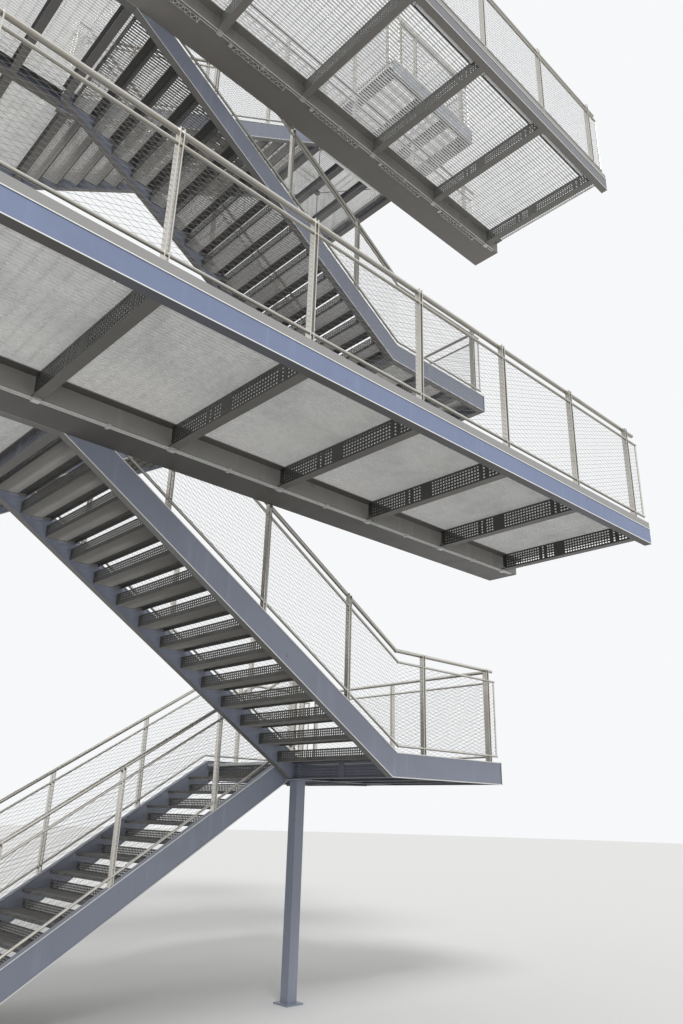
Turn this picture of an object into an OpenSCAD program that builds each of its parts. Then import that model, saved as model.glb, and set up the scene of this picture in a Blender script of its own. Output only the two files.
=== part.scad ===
// Switchback escape stair with two open galleries, in painted and galvanised steel.
// X runs along the galleries, Y runs from the galleries into the stair and Z is up.
// The origin is the middle of the foot plate of the post under the first half landing.

/* [Flights] */
// Height from one gallery deck to the next
storey_h = 4760; // [4200:10:5400]
// Risers in one flight
risers = 14; // [12:1:16]
// Horizontal depth of one step
going = 270; // [250:5:300]
// Reach of each tread over the one below
tread_lap = 30; // [10:5:45]
// Width of a flight over the outer faces of its two webs
flight_w = 1547; // [1200:1:1900]
// Clear gap between the flanges of the two middle stringers
well_gap = 75; // [40:5:300]
// Thickness of the treads' folded plate
tread_t = 5; // [4:0.5:8]
// Height of the kick plate at the back of a tread
kick_h = 83; // [40:1:100]
// Depth of the lip at the front of a tread
nosing_h = 30; // [15:1:35]

/* [Stringers] */
// Depth of a stringer across its slope
stringer_d = 240; // [225:5:280]
// Width of a stringer's flanges
stringer_flange = 80; // [60:1:110]
// Thickness of a stringer's web
stringer_web = 8; // [6:0.5:14]
// Thickness of a stringer's flanges
stringer_ft = 9; // [6:0.5:12]
// How far the flanges' edges stand proud of the web
flange_lip = 5; // [2:0.5:10]
// Height of a stringer's top edge over the landings
curb_h = 40; // [32:1:60]
// Vertical depth of the sloping bottom edge under a tread's back corner
corner_drop = 65; // [55:1:80]

/* [Landings] */
// Distance from the post to the half landings' edge at the outer flights
edge_back = 314; // [260:1:380]
// Distance from the post to the far end of the half landings
half_landing_x = 1712; // [1400:1:2200]
// Distance from the head of the outer flights to the far end of the floor landings
floor_landing_x = 1776; // [1500:1:2200]
// Thickness of the gratings
grating_t = 30; // [25:1:38]
// Clearance between a grating and the steel beside it
deck_gap = 4; // [2:0.5:10]
// Width of a middle beam's flanges
middle_flange = 120; // [100:2:150]
// Spacing of a grating's openings along X
grid_x = 560; // [400:5:800]
// Spacing of a grating's openings along Y
grid_y = 172; // [150:1:260]
// Width of the bars between a grating's openings
grid_bar = 18; // [10:1:30]

/* [Galleries] */
// Spacing of the cross beams
bay = 1130; // [950:5:1300]
// Whole bays in a gallery
bays = 6; // [2:1:6]
// Distance from the post to the first cross beam
first_beam = 5390; // [5000:10:5700]
// Reach of the gallery past its end cross beams
beam_overhang = 260; // [120:10:400]
// Width of a gallery over its two edge beams
gallery_w = 2078; // [1700:1:2600]
// Depth of the beams that carry the decks
beam_d = 170; // [150:1:220]
// Thickness of the beams' flanges
beam_ft = 8; // [6:0.5:12]
// Thickness of the beams' webs
beam_web = 6; // [5:0.5:10]
// Width of a cross beam's flanges
cross_flange = 84; // [60:2:110]
// Width of the inner beam's wide bottom flange
inner_flange = 390; // [300:5:450]
// Distance from the inner beam's open edge to its web
inner_web_back = 250; // [150:5:280]
// Height of a perforation in a cross beam's web
hole_h = 16; // [10:1:18]
// Width of the solid strips between a landing beam's perforations
strip_w = 90; // [60:5:140]
// Rows of perforations in a cross beam's web
hole_rows = 5; // [2:1:5]

/* [Railings] */
// Height of the lower mesh rail's axis over a deck
low_rail_h = 105; // [90:1:140]
// Height of the upper mesh rail's axis over a deck
top_rail_h = 945; // [850:5:980]
// Height of the handrail's axis over a deck
handrail_h = 1070; // [1030:5:1150]
// Diameter of the mesh rails
rail_dia = 26; // [20:1:34]
// Diameter of the handrails
handrail_dia = 42; // [34:1:50]
// Distance of the handrail's axis from the mesh rails' axis
handrail_in = 45; // [35:1:60]
// Width of a post's two flat bars
post_bar_w = 50; // [40:1:70]
// Thickness of a post's flat bars
post_bar_t = 8; // [5:0.5:10]
// Gap between the two flat bars of a post
post_bar_gap = 22; // [12:1:40]
// Steps from one post to the next along a flight
post_going = 4; // [3:1:5]
// Difference between the rails' diameter and that of the upright bars at their ends
end_bar_less = 6; // [4:1:10]

/* [Support post] */
// Side of the square post
post_w = 120; // [90:2:130]
// Side of the post's foot and cap plates
post_plate = 220; // [210:2:300]
// Thickness of the post's foot and cap plates
plate_t = 15; // [10:0.5:25]
// Distance of the anchor holes from the foot plates' edges
anchor_edge = 25; // [20:1:30]
// Diameter of the anchor holes
anchor_dia = 18; // [12:0.5:20]

/* [Hidden] */
$fn = 32;
eps = 1;

steel = "lightsteelblue";
zinc = "darkgray";
stainless = "silver";

// Heights that follow from the stair's sizes
half_h = storey_h / 2;
rise = half_h / risers;
slope = rise / going;
pitch = atan(slope);
run = going * (risers - 1);
below = stringer_d - curb_h;
slope_d = stringer_d / cos(pitch);

// Corners of a stringer's lower edge, measured up the flight from the landing's edge
knee_low = -(below - corner_drop) / slope;
knee_high = (half_h - below + corner_drop) / slope;
knee_shift = tan(pitch / 2);
stub = 48;
foot_cut = 100;
foot_margin = 40;

// Places along X
outer_foot_x = -edge_back;
outer_head_x = outer_foot_x - run;
inner_head_x = outer_foot_x + going;
inner_foot_x = inner_head_x - run;
floor_end_x = outer_head_x - floor_landing_x;
half_stub_x = inner_foot_x + knee_high + stub;
floor_stub_x = outer_foot_x - knee_high - stub;

// Places along Y: the near faces of the four stringers' webs
outer_y = -flight_w;
middle_y = 0;
near_y = stringer_flange + well_gap;
far_y = near_y + flight_w;

// The galleries' outer and inner edges
gallery_in_y = outer_y - flange_lip;
gallery_out_y = gallery_in_y - gallery_w;
gallery_left_x = -first_beam - beam_overhang;
gallery_right_x = -first_beam + bays * bay + beam_overhang;
inner_web_y = gallery_in_y - inner_web_back;
edge_plate_top = curb_h;

function reversed(points) = [for (i = [len(points) - 1:-1:0]) points[i]];

function is_inner(n) = n % 2 == 1;

function floor_level(half_storeys) = half_storeys * half_h;

// A line at a distance above a stringer's lower edge, from its low leg to its high leg
function edge_line(d, low, high) = [
    [low, d - below],
    [knee_low - d * knee_shift, d - below],
    [knee_high - d * knee_shift, half_h - below + d],
    [high, half_h - below + d]
];

// Place along the flight where a line over the sloping lower edge reaches a height
function slope_x(d, z) = (z + corner_drop - d / cos(pitch)) / slope;

// Height of a stringer's top edge over the lower landing
function top_edge(x, high_curb) = min(
    half_h + high_curb,
    max(curb_h, slope * x - corner_drop + slope_d)
);

// Height of the line that the rails follow over the lower landing
function rail_base(x) = min(half_h, max(0, slope * (x + edge_back)));

// The rails' axes, measured from the outer edge of their posts
rail_set = 3;
mesh_y = rail_set + rail_dia / 2;
hand_y = rail_set + handrail_in;

// How much wider a knee's ball is than its rail, and where the rail ends in it
ball_more = 6;
knee_share = 0.2;

rail_knee_low = -edge_back;
rail_knee_high = half_h / slope - edge_back;

// Stands a drawing of X and Z up, with its thickness along Y
module upright(y, width) {
    translate([0, y + width, 0])
        rotate([90, 0, 0])
            linear_extrude(width) children();
}

// Stands a drawing of Y and Z up, with its thickness along X
module crosswise(x, width) {
    translate([x, 0, 0])
        rotate([90, 0, 90])
            linear_extrude(width) children();
}

module box(low, high) {
    translate(low) cube(high - low);
}

module rod(from, to, dia) {
    way = to - from;
    length = norm(way);
    turn = acos(way[2] / length);
    translate(from)
        rotate([0, turn, atan2(way[1], way[0])])
            cylinder(d = dia, h = length);
}

// Puts a flight in its place: inner flights climb along X, outer flights climb back
module flight_place(n) {
    translate([is_inner(n) ? inner_foot_x : outer_foot_x, 0, floor_level(n - 1)])
        mirror([is_inner(n) ? 0 : 1, 0, 0])
            children();
}

// Distance up the flight of a place along X
function along(n, x) = is_inner(n) ? x - inner_foot_x : outer_foot_x - x;

// Stringers

module stringer_band(low_d, high_d, low, high) {
    polygon(concat(edge_line(low_d, low, high), reversed(edge_line(high_d, low, high))));
}

// A cranked channel: its web faces the outer flights' side and its flanges point along Y
module stringer(low, high) {
    upright(0, stringer_web) stringer_band(0, stringer_d, low, high);
    upright(-flange_lip, stringer_flange) stringer_band(0, stringer_ft, low, high);
    upright(-flange_lip, stringer_flange)
        stringer_band(stringer_d - stringer_ft, stringer_d, low, high);
}

// The same channel with its upper leg's top edge level with the floor landing
module flush_stringer(low, high) {
    top_x = (half_h + corner_drop - slope_d) / slope;
    flange_x = top_x + stringer_ft * knee_shift;
    lower_x = knee_low - (stringer_d - stringer_ft) * knee_shift;
    upper_x = knee_low - stringer_d * knee_shift;
    upright(0, stringer_web)
        polygon(concat(
            edge_line(0, low, high),
            [[high, half_h], [top_x, half_h], [upper_x, curb_h], [low, curb_h]]
        ));
    upright(-flange_lip, stringer_flange) stringer_band(0, stringer_ft, low, high);
    upright(-flange_lip, stringer_flange)
        polygon([
            [low, curb_h - stringer_ft],
            [lower_x, curb_h - stringer_ft],
            [flange_x, half_h - stringer_ft],
            [high, half_h - stringer_ft],
            [high, half_h],
            [top_x, half_h],
            [upper_x, curb_h],
            [low, curb_h]
        ]);
}

function foot_line(d, high) = [
    [slope_x(d, plate_t), plate_t],
    [knee_high - d * knee_shift, half_h - below + d],
    [high, half_h - below + d]
];

// The first flight's stringer, cut off over a foot plate on the ground
module foot_band(low_d, high_d, high) {
    intersection() {
        polygon(concat(foot_line(low_d, high), reversed(foot_line(high_d, high))));
        translate([-foot_cut, plate_t]) square([foot_cut + high, half_h + curb_h]);
    }
}

module foot_stringer(high) {
    foot_end = slope_x(0, plate_t);
    upright(0, stringer_web) foot_band(0, stringer_d, high);
    upright(-flange_lip, stringer_flange) foot_band(0, stringer_ft, high);
    upright(-flange_lip, stringer_flange) foot_band(stringer_d - stringer_ft, stringer_d, high);
    difference() {
        box(
            [-foot_cut - foot_margin, -flange_lip, 0],
            [foot_end + foot_margin, stringer_flange - flange_lip, plate_t]
        );
        for (x = [-foot_cut - foot_margin / 2, foot_end + foot_margin / 2]) {
            translate([x, stringer_flange / 2 - flange_lip, -eps])
                cylinder(d = anchor_dia, h = plate_t + 2 * eps);
        }
    }
}

module flight_stringers(n) {
    color(steel)
        flight_place(n) {
            if (n == 1) {
                translate([0, near_y, 0]) foot_stringer(along(n, half_stub_x));
                translate([0, far_y, 0]) foot_stringer(along(n, half_landing_x - stringer_web));
            } else if (is_inner(n)) {
                translate([0, near_y, 0])
                    stringer(along(n, floor_stub_x), along(n, half_stub_x));
                translate([0, far_y, 0])
                    stringer(
                        along(n, floor_end_x + stringer_web),
                        along(n, half_landing_x - stringer_web)
                    );
            } else {
                translate([0, outer_y, 0])
                    flush_stringer(
                        along(n, half_landing_x - stringer_web),
                        along(n, floor_end_x + stringer_web)
                    );
                translate([0, middle_y, 0])
                    stringer(along(n, half_stub_x), along(n, floor_stub_x));
            }
        }
}

// Treads

// A folded tread with its lip down at the front and its kick plate up at the back
module tread(k) {
    back = going * k;
    front = k == 0 ? -going : back - going - tread_lap;
    z = rise * k;
    low = k == 0 ? z - tread_t : z - nosing_h;
    polygon([
        [front, low],
        [front + tread_t, low],
        [front + tread_t, z - tread_t],
        [back, z - tread_t],
        [back, z + kick_h],
        [back - tread_t, z + kick_h],
        [back - tread_t, z],
        [front, z]
    ]);
}

module flight_treads(n) {
    first = n == 1 ? 1 : 0;
    y = is_inner(n) ? near_y : outer_y;
    color(zinc)
        flight_place(n)
            for (k = [first:risers - 1]) {
                upright(y + stringer_web, flight_w - stringer_web) tread(k);
            }
}

// Railings

// One flat bar of a post on a stringer
module slope_bar(x, high_curb) {
    polygon([
        [x, top_edge(x, high_curb)],
        [x + post_bar_t, top_edge(x + post_bar_t, high_curb)],
        [x + post_bar_t, rail_base(x + post_bar_t) + handrail_h],
        [x, rail_base(x) + handrail_h]
    ]);
}

module slope_post(x, high_curb) {
    bar_x = (post_bar_gap + post_bar_t) / 2;
    for (side = [-1, 1]) {
        upright(0, post_bar_w) slope_bar(x + side * bar_x - post_bar_t / 2, high_curb);
    }
}

// A ball at a rail's knee, turned so that its seam keeps clear of both rods
module knee_ball(place, dia) {
    translate(place)
        rotate([90, 90 - pitch / 2, 0])
            sphere(d = dia + ball_more);
}

// A round rail that follows a flight between two places along it, with a ball at each knee
module flight_rail(low, high, y, height, dia) {
    low_knee = [rail_knee_low, y, height];
    high_knee = [rail_knee_high, y, half_h + height];
    starts_level = low < rail_knee_low;
    ends_level = high > rail_knee_high;
    way = [cos(pitch), 0, sin(pitch)] * dia * knee_share;
    level_way = [dia * knee_share, 0, 0];
    from = starts_level ? low_knee + way : [low, y, rail_base(low) + height];
    to = ends_level ? high_knee - way : [high, y, rail_base(high) + height];
    rod(from, to, dia);
    if (starts_level) {
        rod([low, y, height], low_knee - level_way, dia);
        knee_ball(low_knee, dia);
    }
    if (ends_level) {
        rod(high_knee + level_way, [high, y, half_h + height], dia);
        knee_ball(high_knee, dia);
    }
}

// A railing over a flight: its mesh rails lie on the side of y = 0
module slope_railing(low, high, posts, high_curb) {
    flight_rail(low, high, mesh_y, low_rail_h, rail_dia);
    flight_rail(low, high, mesh_y, top_rail_h, rail_dia);
    flight_rail(low, high, hand_y, handrail_h, handrail_dia);
    for (x = [low + rail_dia / 2, high - rail_dia / 2]) {
        rod(
            [x, mesh_y, rail_base(x) + low_rail_h],
            [x, mesh_y, rail_base(x) + top_rail_h],
            rail_dia - end_bar_less
        );
    }
    for (x = posts) {
        slope_post(x, high_curb);
    }
}

// Ends of the rails and places of their posts
end_back = 45;
end_post = 50;
knee_post_up = 60;
stub_back = 10;
post_back = 180;
landing_post_x = 400;
slope_posts = [for (k = [2:post_going:risers - 2]) going * k - going / 2];

// Puts a railing on a stringer whose web's near face lies at y, facing either way
module on_stringer(y, outward) {
    translate([0, outward < 0 ? y : y + stringer_flange - 2 * flange_lip, 0])
        mirror([0, outward < 0 ? 0 : 1, 0])
            children();
}

module flight_railings(n) {
    half_out = along(n, half_landing_x - end_back);
    half_post = along(n, half_landing_x - post_back);
    knee_post = along(n, landing_post_x);
    half_in = along(n, half_stub_x - stub_back);
    half_in_post = is_inner(n) ? half_in - end_post : rail_knee_low + knee_post_up;
    floor_in = along(n, floor_stub_x + stub_back);
    floor_in_post = is_inner(n) ? rail_knee_low + knee_post_up : floor_in - end_post;
    floor_out = along(n, floor_end_x + end_back);
    floor_post = along(n, floor_end_x + post_back);
    floor_mid = along(n, floor_stub_x - landing_post_x);
    foot = -foot_cut / 2;
    foot_post = foot + end_post;
    color(stainless)
        flight_place(n) {
            if (n == 1) {
                on_stringer(near_y, -1)
                    slope_railing(foot, half_in, concat([foot_post, half_in_post], slope_posts), curb_h);
                on_stringer(far_y, 1)
                    slope_railing(
                        foot, half_out,
                        concat([foot_post], slope_posts, [knee_post, half_post]), curb_h
                    );
            } else if (is_inner(n)) {
                on_stringer(near_y, -1)
                    slope_railing(
                        floor_in, half_in,
                        concat([floor_in_post, half_in_post], slope_posts), curb_h
                    );
                on_stringer(far_y, 1)
                    slope_railing(
                        floor_out, half_out,
                        concat([floor_post, floor_mid], slope_posts, [knee_post, half_post]), curb_h
                    );
            } else {
                on_stringer(outer_y, -1)
                    slope_railing(
                        half_out, floor_in,
                        concat([half_post, knee_post], slope_posts, [floor_in_post]), 0
                    );
                on_stringer(middle_y, 1)
                    slope_railing(
                        half_in, floor_in,
                        concat([half_in_post, floor_in_post], slope_posts), curb_h
                    );
            }
        }
}

// Perforated beams

slot_gap = 10;
end_strip = 60;
landing_fields = 4;
head_fields = 2;
beam_bottom = -beam_d - grating_t;
web_foot = beam_bottom + beam_ft;
first_row = web_foot + slot_gap;
row_pitch = (beam_d - 2 * beam_ft - 2 * slot_gap - hole_h) / (hole_rows - 1);

// Holes in each group of a gallery beam's web, from the outer beam inwards
hole_groups = [3, 1, 17, 3, 1, 14];
// Hole pitches from the last hole of the group before to the first hole of each group
group_steps = [0, 2, 2, 5, 2, 2];
// Distances of the outermost holes' middles from the ends of the beam's flanges
outer_margin = 51;
inner_margin = 90;

// Hole pitches from the first hole of a web to the first hole of group g
function group_start(g) = group_steps[g]
    + (g == 0 ? 0 : group_start(g - 1) + hole_groups[g - 1] - 1);

// One slot in each row of a web, from one place along Y to another
module slot_rows(from, to) {
    for (j = [0:hole_rows - 1]) {
        translate([from, first_row + j * row_pitch]) square([to - from, hole_h]);
    }
}

// Equal fields of slots between solid strips, in a web from one place along Y to another
module slot_fields(low, high, fields) {
    field_w = (high - low - 2 * end_strip - (fields - 1) * strip_w) / fields;
    for (i = [0:fields - 1]) {
        from = low + end_strip + i * (field_w + strip_w);
        slot_rows(from, from + field_w);
    }
}

// Slots as long as the groups of holes, between the middles of the first and last holes
module slot_groups(low, high) {
    last = len(hole_groups) - 1;
    hole_pitch = (high - low) / (group_start(last) + hole_groups[last] - 1);
    for (g = [0:last]) {
        from = low + group_start(g) * hole_pitch;
        slot_rows(from - hole_h / 2, from + (hole_groups[g] - 1) * hole_pitch + hole_h / 2);
    }
}

// A cross beam: its web and flanges end at two places each along Y, the web's ends stand at
// the height of the seat, and the children draw what is cut from the web
module perforated_beam(x, web, flange, seat) {
    crosswise(x - beam_web / 2, beam_web)
        difference() {
            polygon([
                [web[0], seat],
                [flange[0], seat],
                [flange[0], web_foot],
                [flange[1], web_foot],
                [flange[1], seat],
                [web[1], seat],
                [web[1], -grating_t - beam_ft],
                [web[0], -grating_t - beam_ft]
            ]);
            children();
        }
    for (z = [beam_bottom, -grating_t - beam_ft]) {
        box(
            [x - cross_flange / 2, flange[0], z],
            [x + cross_flange / 2, flange[1], z + beam_ft]
        );
    }
}

// Landings

landing_beams = 2;
knee_gap = 2;
beam_fit = 0.5;
edge_inside = outer_y - flange_lip + stringer_flange;
landing_seat = max(web_foot, -below + stringer_ft);

// The channel across a landing's far end, its web facing outwards along X
module end_beam(x, face) {
    back = face * stringer_web;
    lip = face * flange_lip;
    inner = x - face * (stringer_flange - flange_lip);
    y_end = far_y - flange_lip + stringer_flange;
    box(
        [min(x, x - back), outer_y - flange_lip, -below],
        [max(x, x - back), y_end, curb_h]
    );
    for (z = [-below, curb_h - stringer_ft]) {
        box(
            [min(x + lip, x - back), outer_y - flange_lip, z],
            [max(x + lip, x - back), y_end, z + stringer_ft]
        );
        box(
            [min(x, inner), edge_inside, z],
            [max(x, inner), far_y - flange_lip, z + stringer_ft]
        );
    }
}

// The beam under a landing's middle, from the stringers' stubs to the end beam at end_x.
// Its web stands on the end beam's flange with a small fit gap.
module middle_beam(stub_x, end_x, face) {
    y = (near_y - flange_lip + stringer_flange) / 2;
    seat = -below + stringer_ft + beam_fit;
    flange_end = end_x - face * (stringer_flange - flange_lip + beam_fit);
    web_end = end_x - face * (stringer_web + beam_fit);
    upright(y - beam_web / 2, beam_web)
        polygon([
            [stub_x, beam_bottom],
            [flange_end, beam_bottom],
            [flange_end, seat],
            [web_end, seat],
            [web_end, -grating_t],
            [stub_x, -grating_t]
        ]);
    upright(y - middle_flange / 2, middle_flange) {
        level_plate(stub_x, flange_end, beam_bottom);
        level_plate(stub_x, web_end, -grating_t - beam_ft);
    }
}

// A flange drawn from one place along X to another
module level_plate(from, to, z) {
    translate([min(from, to), z]) square([abs(to - from), beam_ft]);
}

module landing_beam(x) {
    web = [outer_y + stringer_web, far_y];
    perforated_beam(x, web, [edge_inside, far_y - flange_lip], landing_seat)
        slot_fields(web[0], web[1], landing_fields);
}

module head_beam(x, web, flange) {
    perforated_beam(x, web, flange, landing_seat) slot_fields(web[0], web[1], head_fields);
}

outer_head_beam_x = outer_foot_x - knee_low + cross_flange / 2 + knee_gap;
inner_head_beam_x = inner_foot_x + knee_high + cross_flange / 2 + knee_gap;
floor_beam_x = outer_foot_x - knee_high - cross_flange / 2 - knee_gap;
floor_inner_beam_x = inner_foot_x + knee_low - cross_flange / 2 - knee_gap;

module half_landing_frame(n) {
    last = n == 3;
    pitch_x = (half_landing_x - half_stub_x) / (landing_beams + 1);
    color(steel)
        translate([0, 0, floor_level(2 * n - 1)]) {
            end_beam(half_landing_x, 1);
            middle_beam(half_stub_x, half_landing_x, 1);
            for (i = [1:landing_beams]) {
                landing_beam(half_stub_x + i * pitch_x);
            }
            head_beam(
                inner_head_beam_x,
                [near_y + stringer_web, far_y],
                [near_y - flange_lip + stringer_flange, far_y - flange_lip]
            );
            if (last) {
                head_beam(
                    outer_head_beam_x,
                    [outer_y + stringer_web, near_y],
                    [edge_inside, near_y - flange_lip]
                );
            } else {
                head_beam(
                    outer_head_beam_x,
                    [outer_y + stringer_web, middle_y],
                    [edge_inside, middle_y - flange_lip]
                );
            }
        }
}

// The channel along the outer edge of half landing n, where no flight starts
module edge_channel(n) {
    from = outer_head_beam_x - cross_flange / 2;
    to = half_landing_x - stringer_web;
    color(steel)
        translate([0, 0, floor_level(2 * n - 1)]) {
            box([from, outer_y, -below], [to, outer_y + stringer_web, curb_h]);
            for (z = [-below, curb_h - stringer_ft]) {
                box([from, outer_y - flange_lip, z], [to, edge_inside, z + stringer_ft]);
            }
        }
}

module floor_landing_frame(n) {
    pitch_x = (floor_end_x - floor_stub_x) / (landing_beams + 1);
    color(steel)
        translate([0, 0, floor_level(2 * n)]) {
            end_beam(floor_end_x, -1);
            middle_beam(floor_stub_x, floor_end_x, -1);
            for (i = [1:landing_beams]) {
                landing_beam(floor_stub_x + i * pitch_x);
            }
            head_beam(
                floor_beam_x,
                [outer_y + stringer_web, middle_y],
                [edge_inside, middle_y - flange_lip]
            );
            head_beam(
                floor_inner_beam_x,
                [near_y + stringer_web, far_y],
                [near_y - flange_lip + stringer_flange, far_y - flange_lip]
            );
        }
}

// A grid of openings in a grating between two corners, with a bar's width left all round
module grid(low, high) {
    size = high - low;
    along = max(1, round(size[0] / grid_x));
    across = max(1, round(size[1] / grid_y));
    step = [(size[0] - grid_bar) / along, (size[1] - grid_bar) / across];
    for (i = [0:along - 1], j = [0:across - 1]) {
        translate(low + [grid_bar + i * step[0], grid_bar + j * step[1]])
            square(step - [grid_bar, grid_bar]);
    }
}

// A landing's grating, with a grid of openings in its outer, middle and inner parts
module landing_deck(outline, outer, middle, inner) {
    color(zinc)
        translate([0, 0, -grating_t])
            linear_extrude(grating_t)
                difference() {
                    polygon(outline);
                    grid(outer[0], outer[1]);
                    grid(middle[0], middle[1]);
                    grid(inner[0], inner[1]);
                }
}

module half_landing_deck(n) {
    outer_edge = n == 3 ? outer_head_beam_x - cross_flange / 2 : inner_head_x;
    middle_edge = n == 3 ? near_y - flange_lip : middle_y;
    low_y = outer_y + stringer_web + deck_gap;
    outer_high_y = middle_y - deck_gap;
    inner_low_y = near_y + stringer_web + deck_gap;
    high_y = far_y - deck_gap;
    end_x = half_landing_x - stringer_web - deck_gap;
    stub_x = half_stub_x + deck_gap;
    inner_edge = inner_head_x - tread_lap;
    translate([0, 0, floor_level(2 * n - 1)])
        landing_deck(
            [
                [outer_edge, low_y],
                [end_x, low_y],
                [end_x, high_y],
                [inner_edge, high_y],
                [inner_edge, inner_low_y],
                [stub_x, inner_low_y],
                [stub_x, middle_edge - deck_gap],
                [outer_edge, middle_edge - deck_gap]
            ],
            [[outer_edge, low_y], [end_x, outer_high_y]],
            [[stub_x, outer_high_y], [end_x, inner_low_y]],
            [[inner_edge, inner_low_y], [end_x, high_y]]
        );
}

module floor_landing_deck(n) {
    low_y = edge_inside + deck_gap;
    outer_high_y = middle_y - deck_gap;
    inner_low_y = near_y + stringer_web + deck_gap;
    high_y = far_y - deck_gap;
    end_x = floor_end_x + stringer_web + deck_gap;
    stub_x = floor_stub_x - deck_gap;
    outer_edge = outer_head_x + tread_lap;
    inner_edge = inner_foot_x - going;
    translate([0, 0, floor_level(2 * n)])
        landing_deck(
            [
                [outer_edge, low_y],
                [outer_edge, outer_high_y],
                [stub_x, outer_high_y],
                [stub_x, inner_low_y],
                [inner_edge, inner_low_y],
                [inner_edge, high_y],
                [end_x, high_y],
                [end_x, low_y]
            ],
            [[end_x, low_y], [outer_edge, outer_high_y]],
            [[end_x, outer_high_y], [stub_x, inner_low_y]],
            [[end_x, inner_low_y], [inner_edge, high_y]]
        );
}

// The two flat bars of a level post, across the line of its railing
module level_post(bottom) {
    for (side = [-1, 1]) {
        x = side * (post_bar_gap + post_bar_t) / 2;
        box([x - post_bar_t / 2, 0, bottom], [x + post_bar_t / 2, post_bar_w, handrail_h]);
    }
}

// A level railing of some length along X, its mesh rails on the side of y = 0
module level_railing(length, posts, bottom) {
    for (height = [low_rail_h, top_rail_h]) {
        rod([0, mesh_y, height], [length, mesh_y, height], rail_dia);
    }
    rod([0, hand_y, handrail_h], [length, hand_y, handrail_h], handrail_dia);
    for (x = [rail_dia / 2, length - rail_dia / 2]) {
        rod([x, mesh_y, low_rail_h], [x, mesh_y, top_rail_h], rail_dia - end_bar_less);
    }
    for (x = posts) {
        translate([x, 0, 0]) level_post(bottom);
    }
}

cross_rail_in = 100;

module end_railing(x, face) {
    low = outer_y + cross_rail_in;
    length = far_y + stringer_flange - 2 * flange_lip - cross_rail_in - low;
    translate([x - face * flange_lip, low, 0])
        mirror([face < 0 ? 1 : 0, 0, 0])
            rotate([0, 0, 90])
                level_railing(length, [end_post, length / 2, length - end_post], curb_h);
}

module half_landing_railing(n) {
    half_w = near_y - outer_y - 2 * cross_rail_in;
    head_x = outer_head_beam_x - post_bar_w / 2;
    edge_low = head_x + cross_rail_in;
    edge_high = half_landing_x - end_back;
    color(stainless)
        translate([0, 0, floor_level(2 * n - 1)]) {
            end_railing(half_landing_x, 1);
            if (n == 3) {
                translate([head_x, near_y - cross_rail_in, 0])
                    rotate([0, 0, -90])
                        level_railing(half_w, [end_post, half_w / 2, half_w - end_post], 0);
                translate([edge_low, outer_y, 0])
                    level_railing(
                        edge_high - edge_low,
                        [end_post, landing_post_x - edge_low, edge_high - edge_low - post_back],
                        curb_h
                    );
            }
        }
}

module floor_landing_railing(n) {
    color(stainless)
        translate([0, 0, floor_level(2 * n)])
            end_railing(floor_end_x, -1);
}

// Galleries

module gallery_outer_beam(n) {
    top = -grating_t;
    bottom = top - beam_d;
    length = gallery_right_x - gallery_left_x;
    color(steel)
        translate([gallery_left_x, gallery_out_y, floor_level(2 * n)]) {
            box([0, 0, bottom], [length, beam_web, top]);
            for (z = [bottom, top - beam_ft]) {
                box([0, -flange_lip, z], [length, stringer_flange - flange_lip, z + beam_ft]);
            }
            box([0, 0, top], [length, stringer_web, edge_plate_top]);
        }
}

module gallery_inner_beam(n) {
    top = -grating_t;
    bottom = top - beam_d;
    top_flange = inner_flange / 2;
    color(steel)
        translate([gallery_left_x, 0, floor_level(2 * n)])
            rotate([90, 0, 90])
                linear_extrude(gallery_right_x - gallery_left_x)
                    union() {
                        translate([gallery_in_y - inner_flange, bottom])
                            square([inner_flange, beam_ft]);
                        translate([inner_web_y, bottom]) square([beam_web, beam_d]);
                        translate([inner_web_y, top - beam_ft]) square([top_flange, beam_ft]);
                    }
}

module gallery_cross_beams(n) {
    flange = [gallery_out_y + stringer_flange - flange_lip, gallery_in_y - inner_flange];
    color(steel)
        translate([0, 0, floor_level(2 * n)])
            for (i = [0:bays]) {
                perforated_beam(
                    -first_beam + i * bay, [gallery_out_y + beam_web, inner_web_y], flange, web_foot
                )
                    slot_groups(flange[0] + outer_margin, flange[1] - inner_margin);
            }
}

module gallery_deck(n) {
    low_y = gallery_out_y + stringer_web + deck_gap;
    high_y = gallery_in_y - deck_gap;
    color(zinc)
        translate([0, 0, floor_level(2 * n) - grating_t])
            for (i = [0:bays - 1]) {
                beam_x = -first_beam + i * bay;
                left = i == 0 ? gallery_left_x : beam_x + deck_gap / 2;
                right = i == bays - 1 ? gallery_right_x : beam_x + bay - deck_gap / 2;
                linear_extrude(grating_t)
                    difference() {
                        translate([left, low_y]) square([right - left, high_y - low_y]);
                        grid([left, low_y], [right, high_y]);
                    }
            }
}

module gallery_railings(n) {
    rail_back = 40;
    length = gallery_right_x - gallery_left_x - 2 * rail_back;
    left = gallery_left_x + rail_back;
    inner_left = outer_head_x + post_back;
    inner_length = gallery_right_x - rail_back - inner_left;
    beams = [for (i = [0:bays]) -first_beam + i * bay];
    color(stainless)
        translate([0, 0, floor_level(2 * n)]) {
            translate([left, gallery_out_y + stringer_web, 0])
                level_railing(length, [for (x = beams) x - left], 0);
            translate([inner_left, gallery_in_y - deck_gap, 0])
                mirror([0, 1, 0])
                    level_railing(
                        inner_length,
                        [for (x = beams) if (x > inner_left) x - inner_left],
                        0
                    );
        }
}

// Support post

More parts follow.
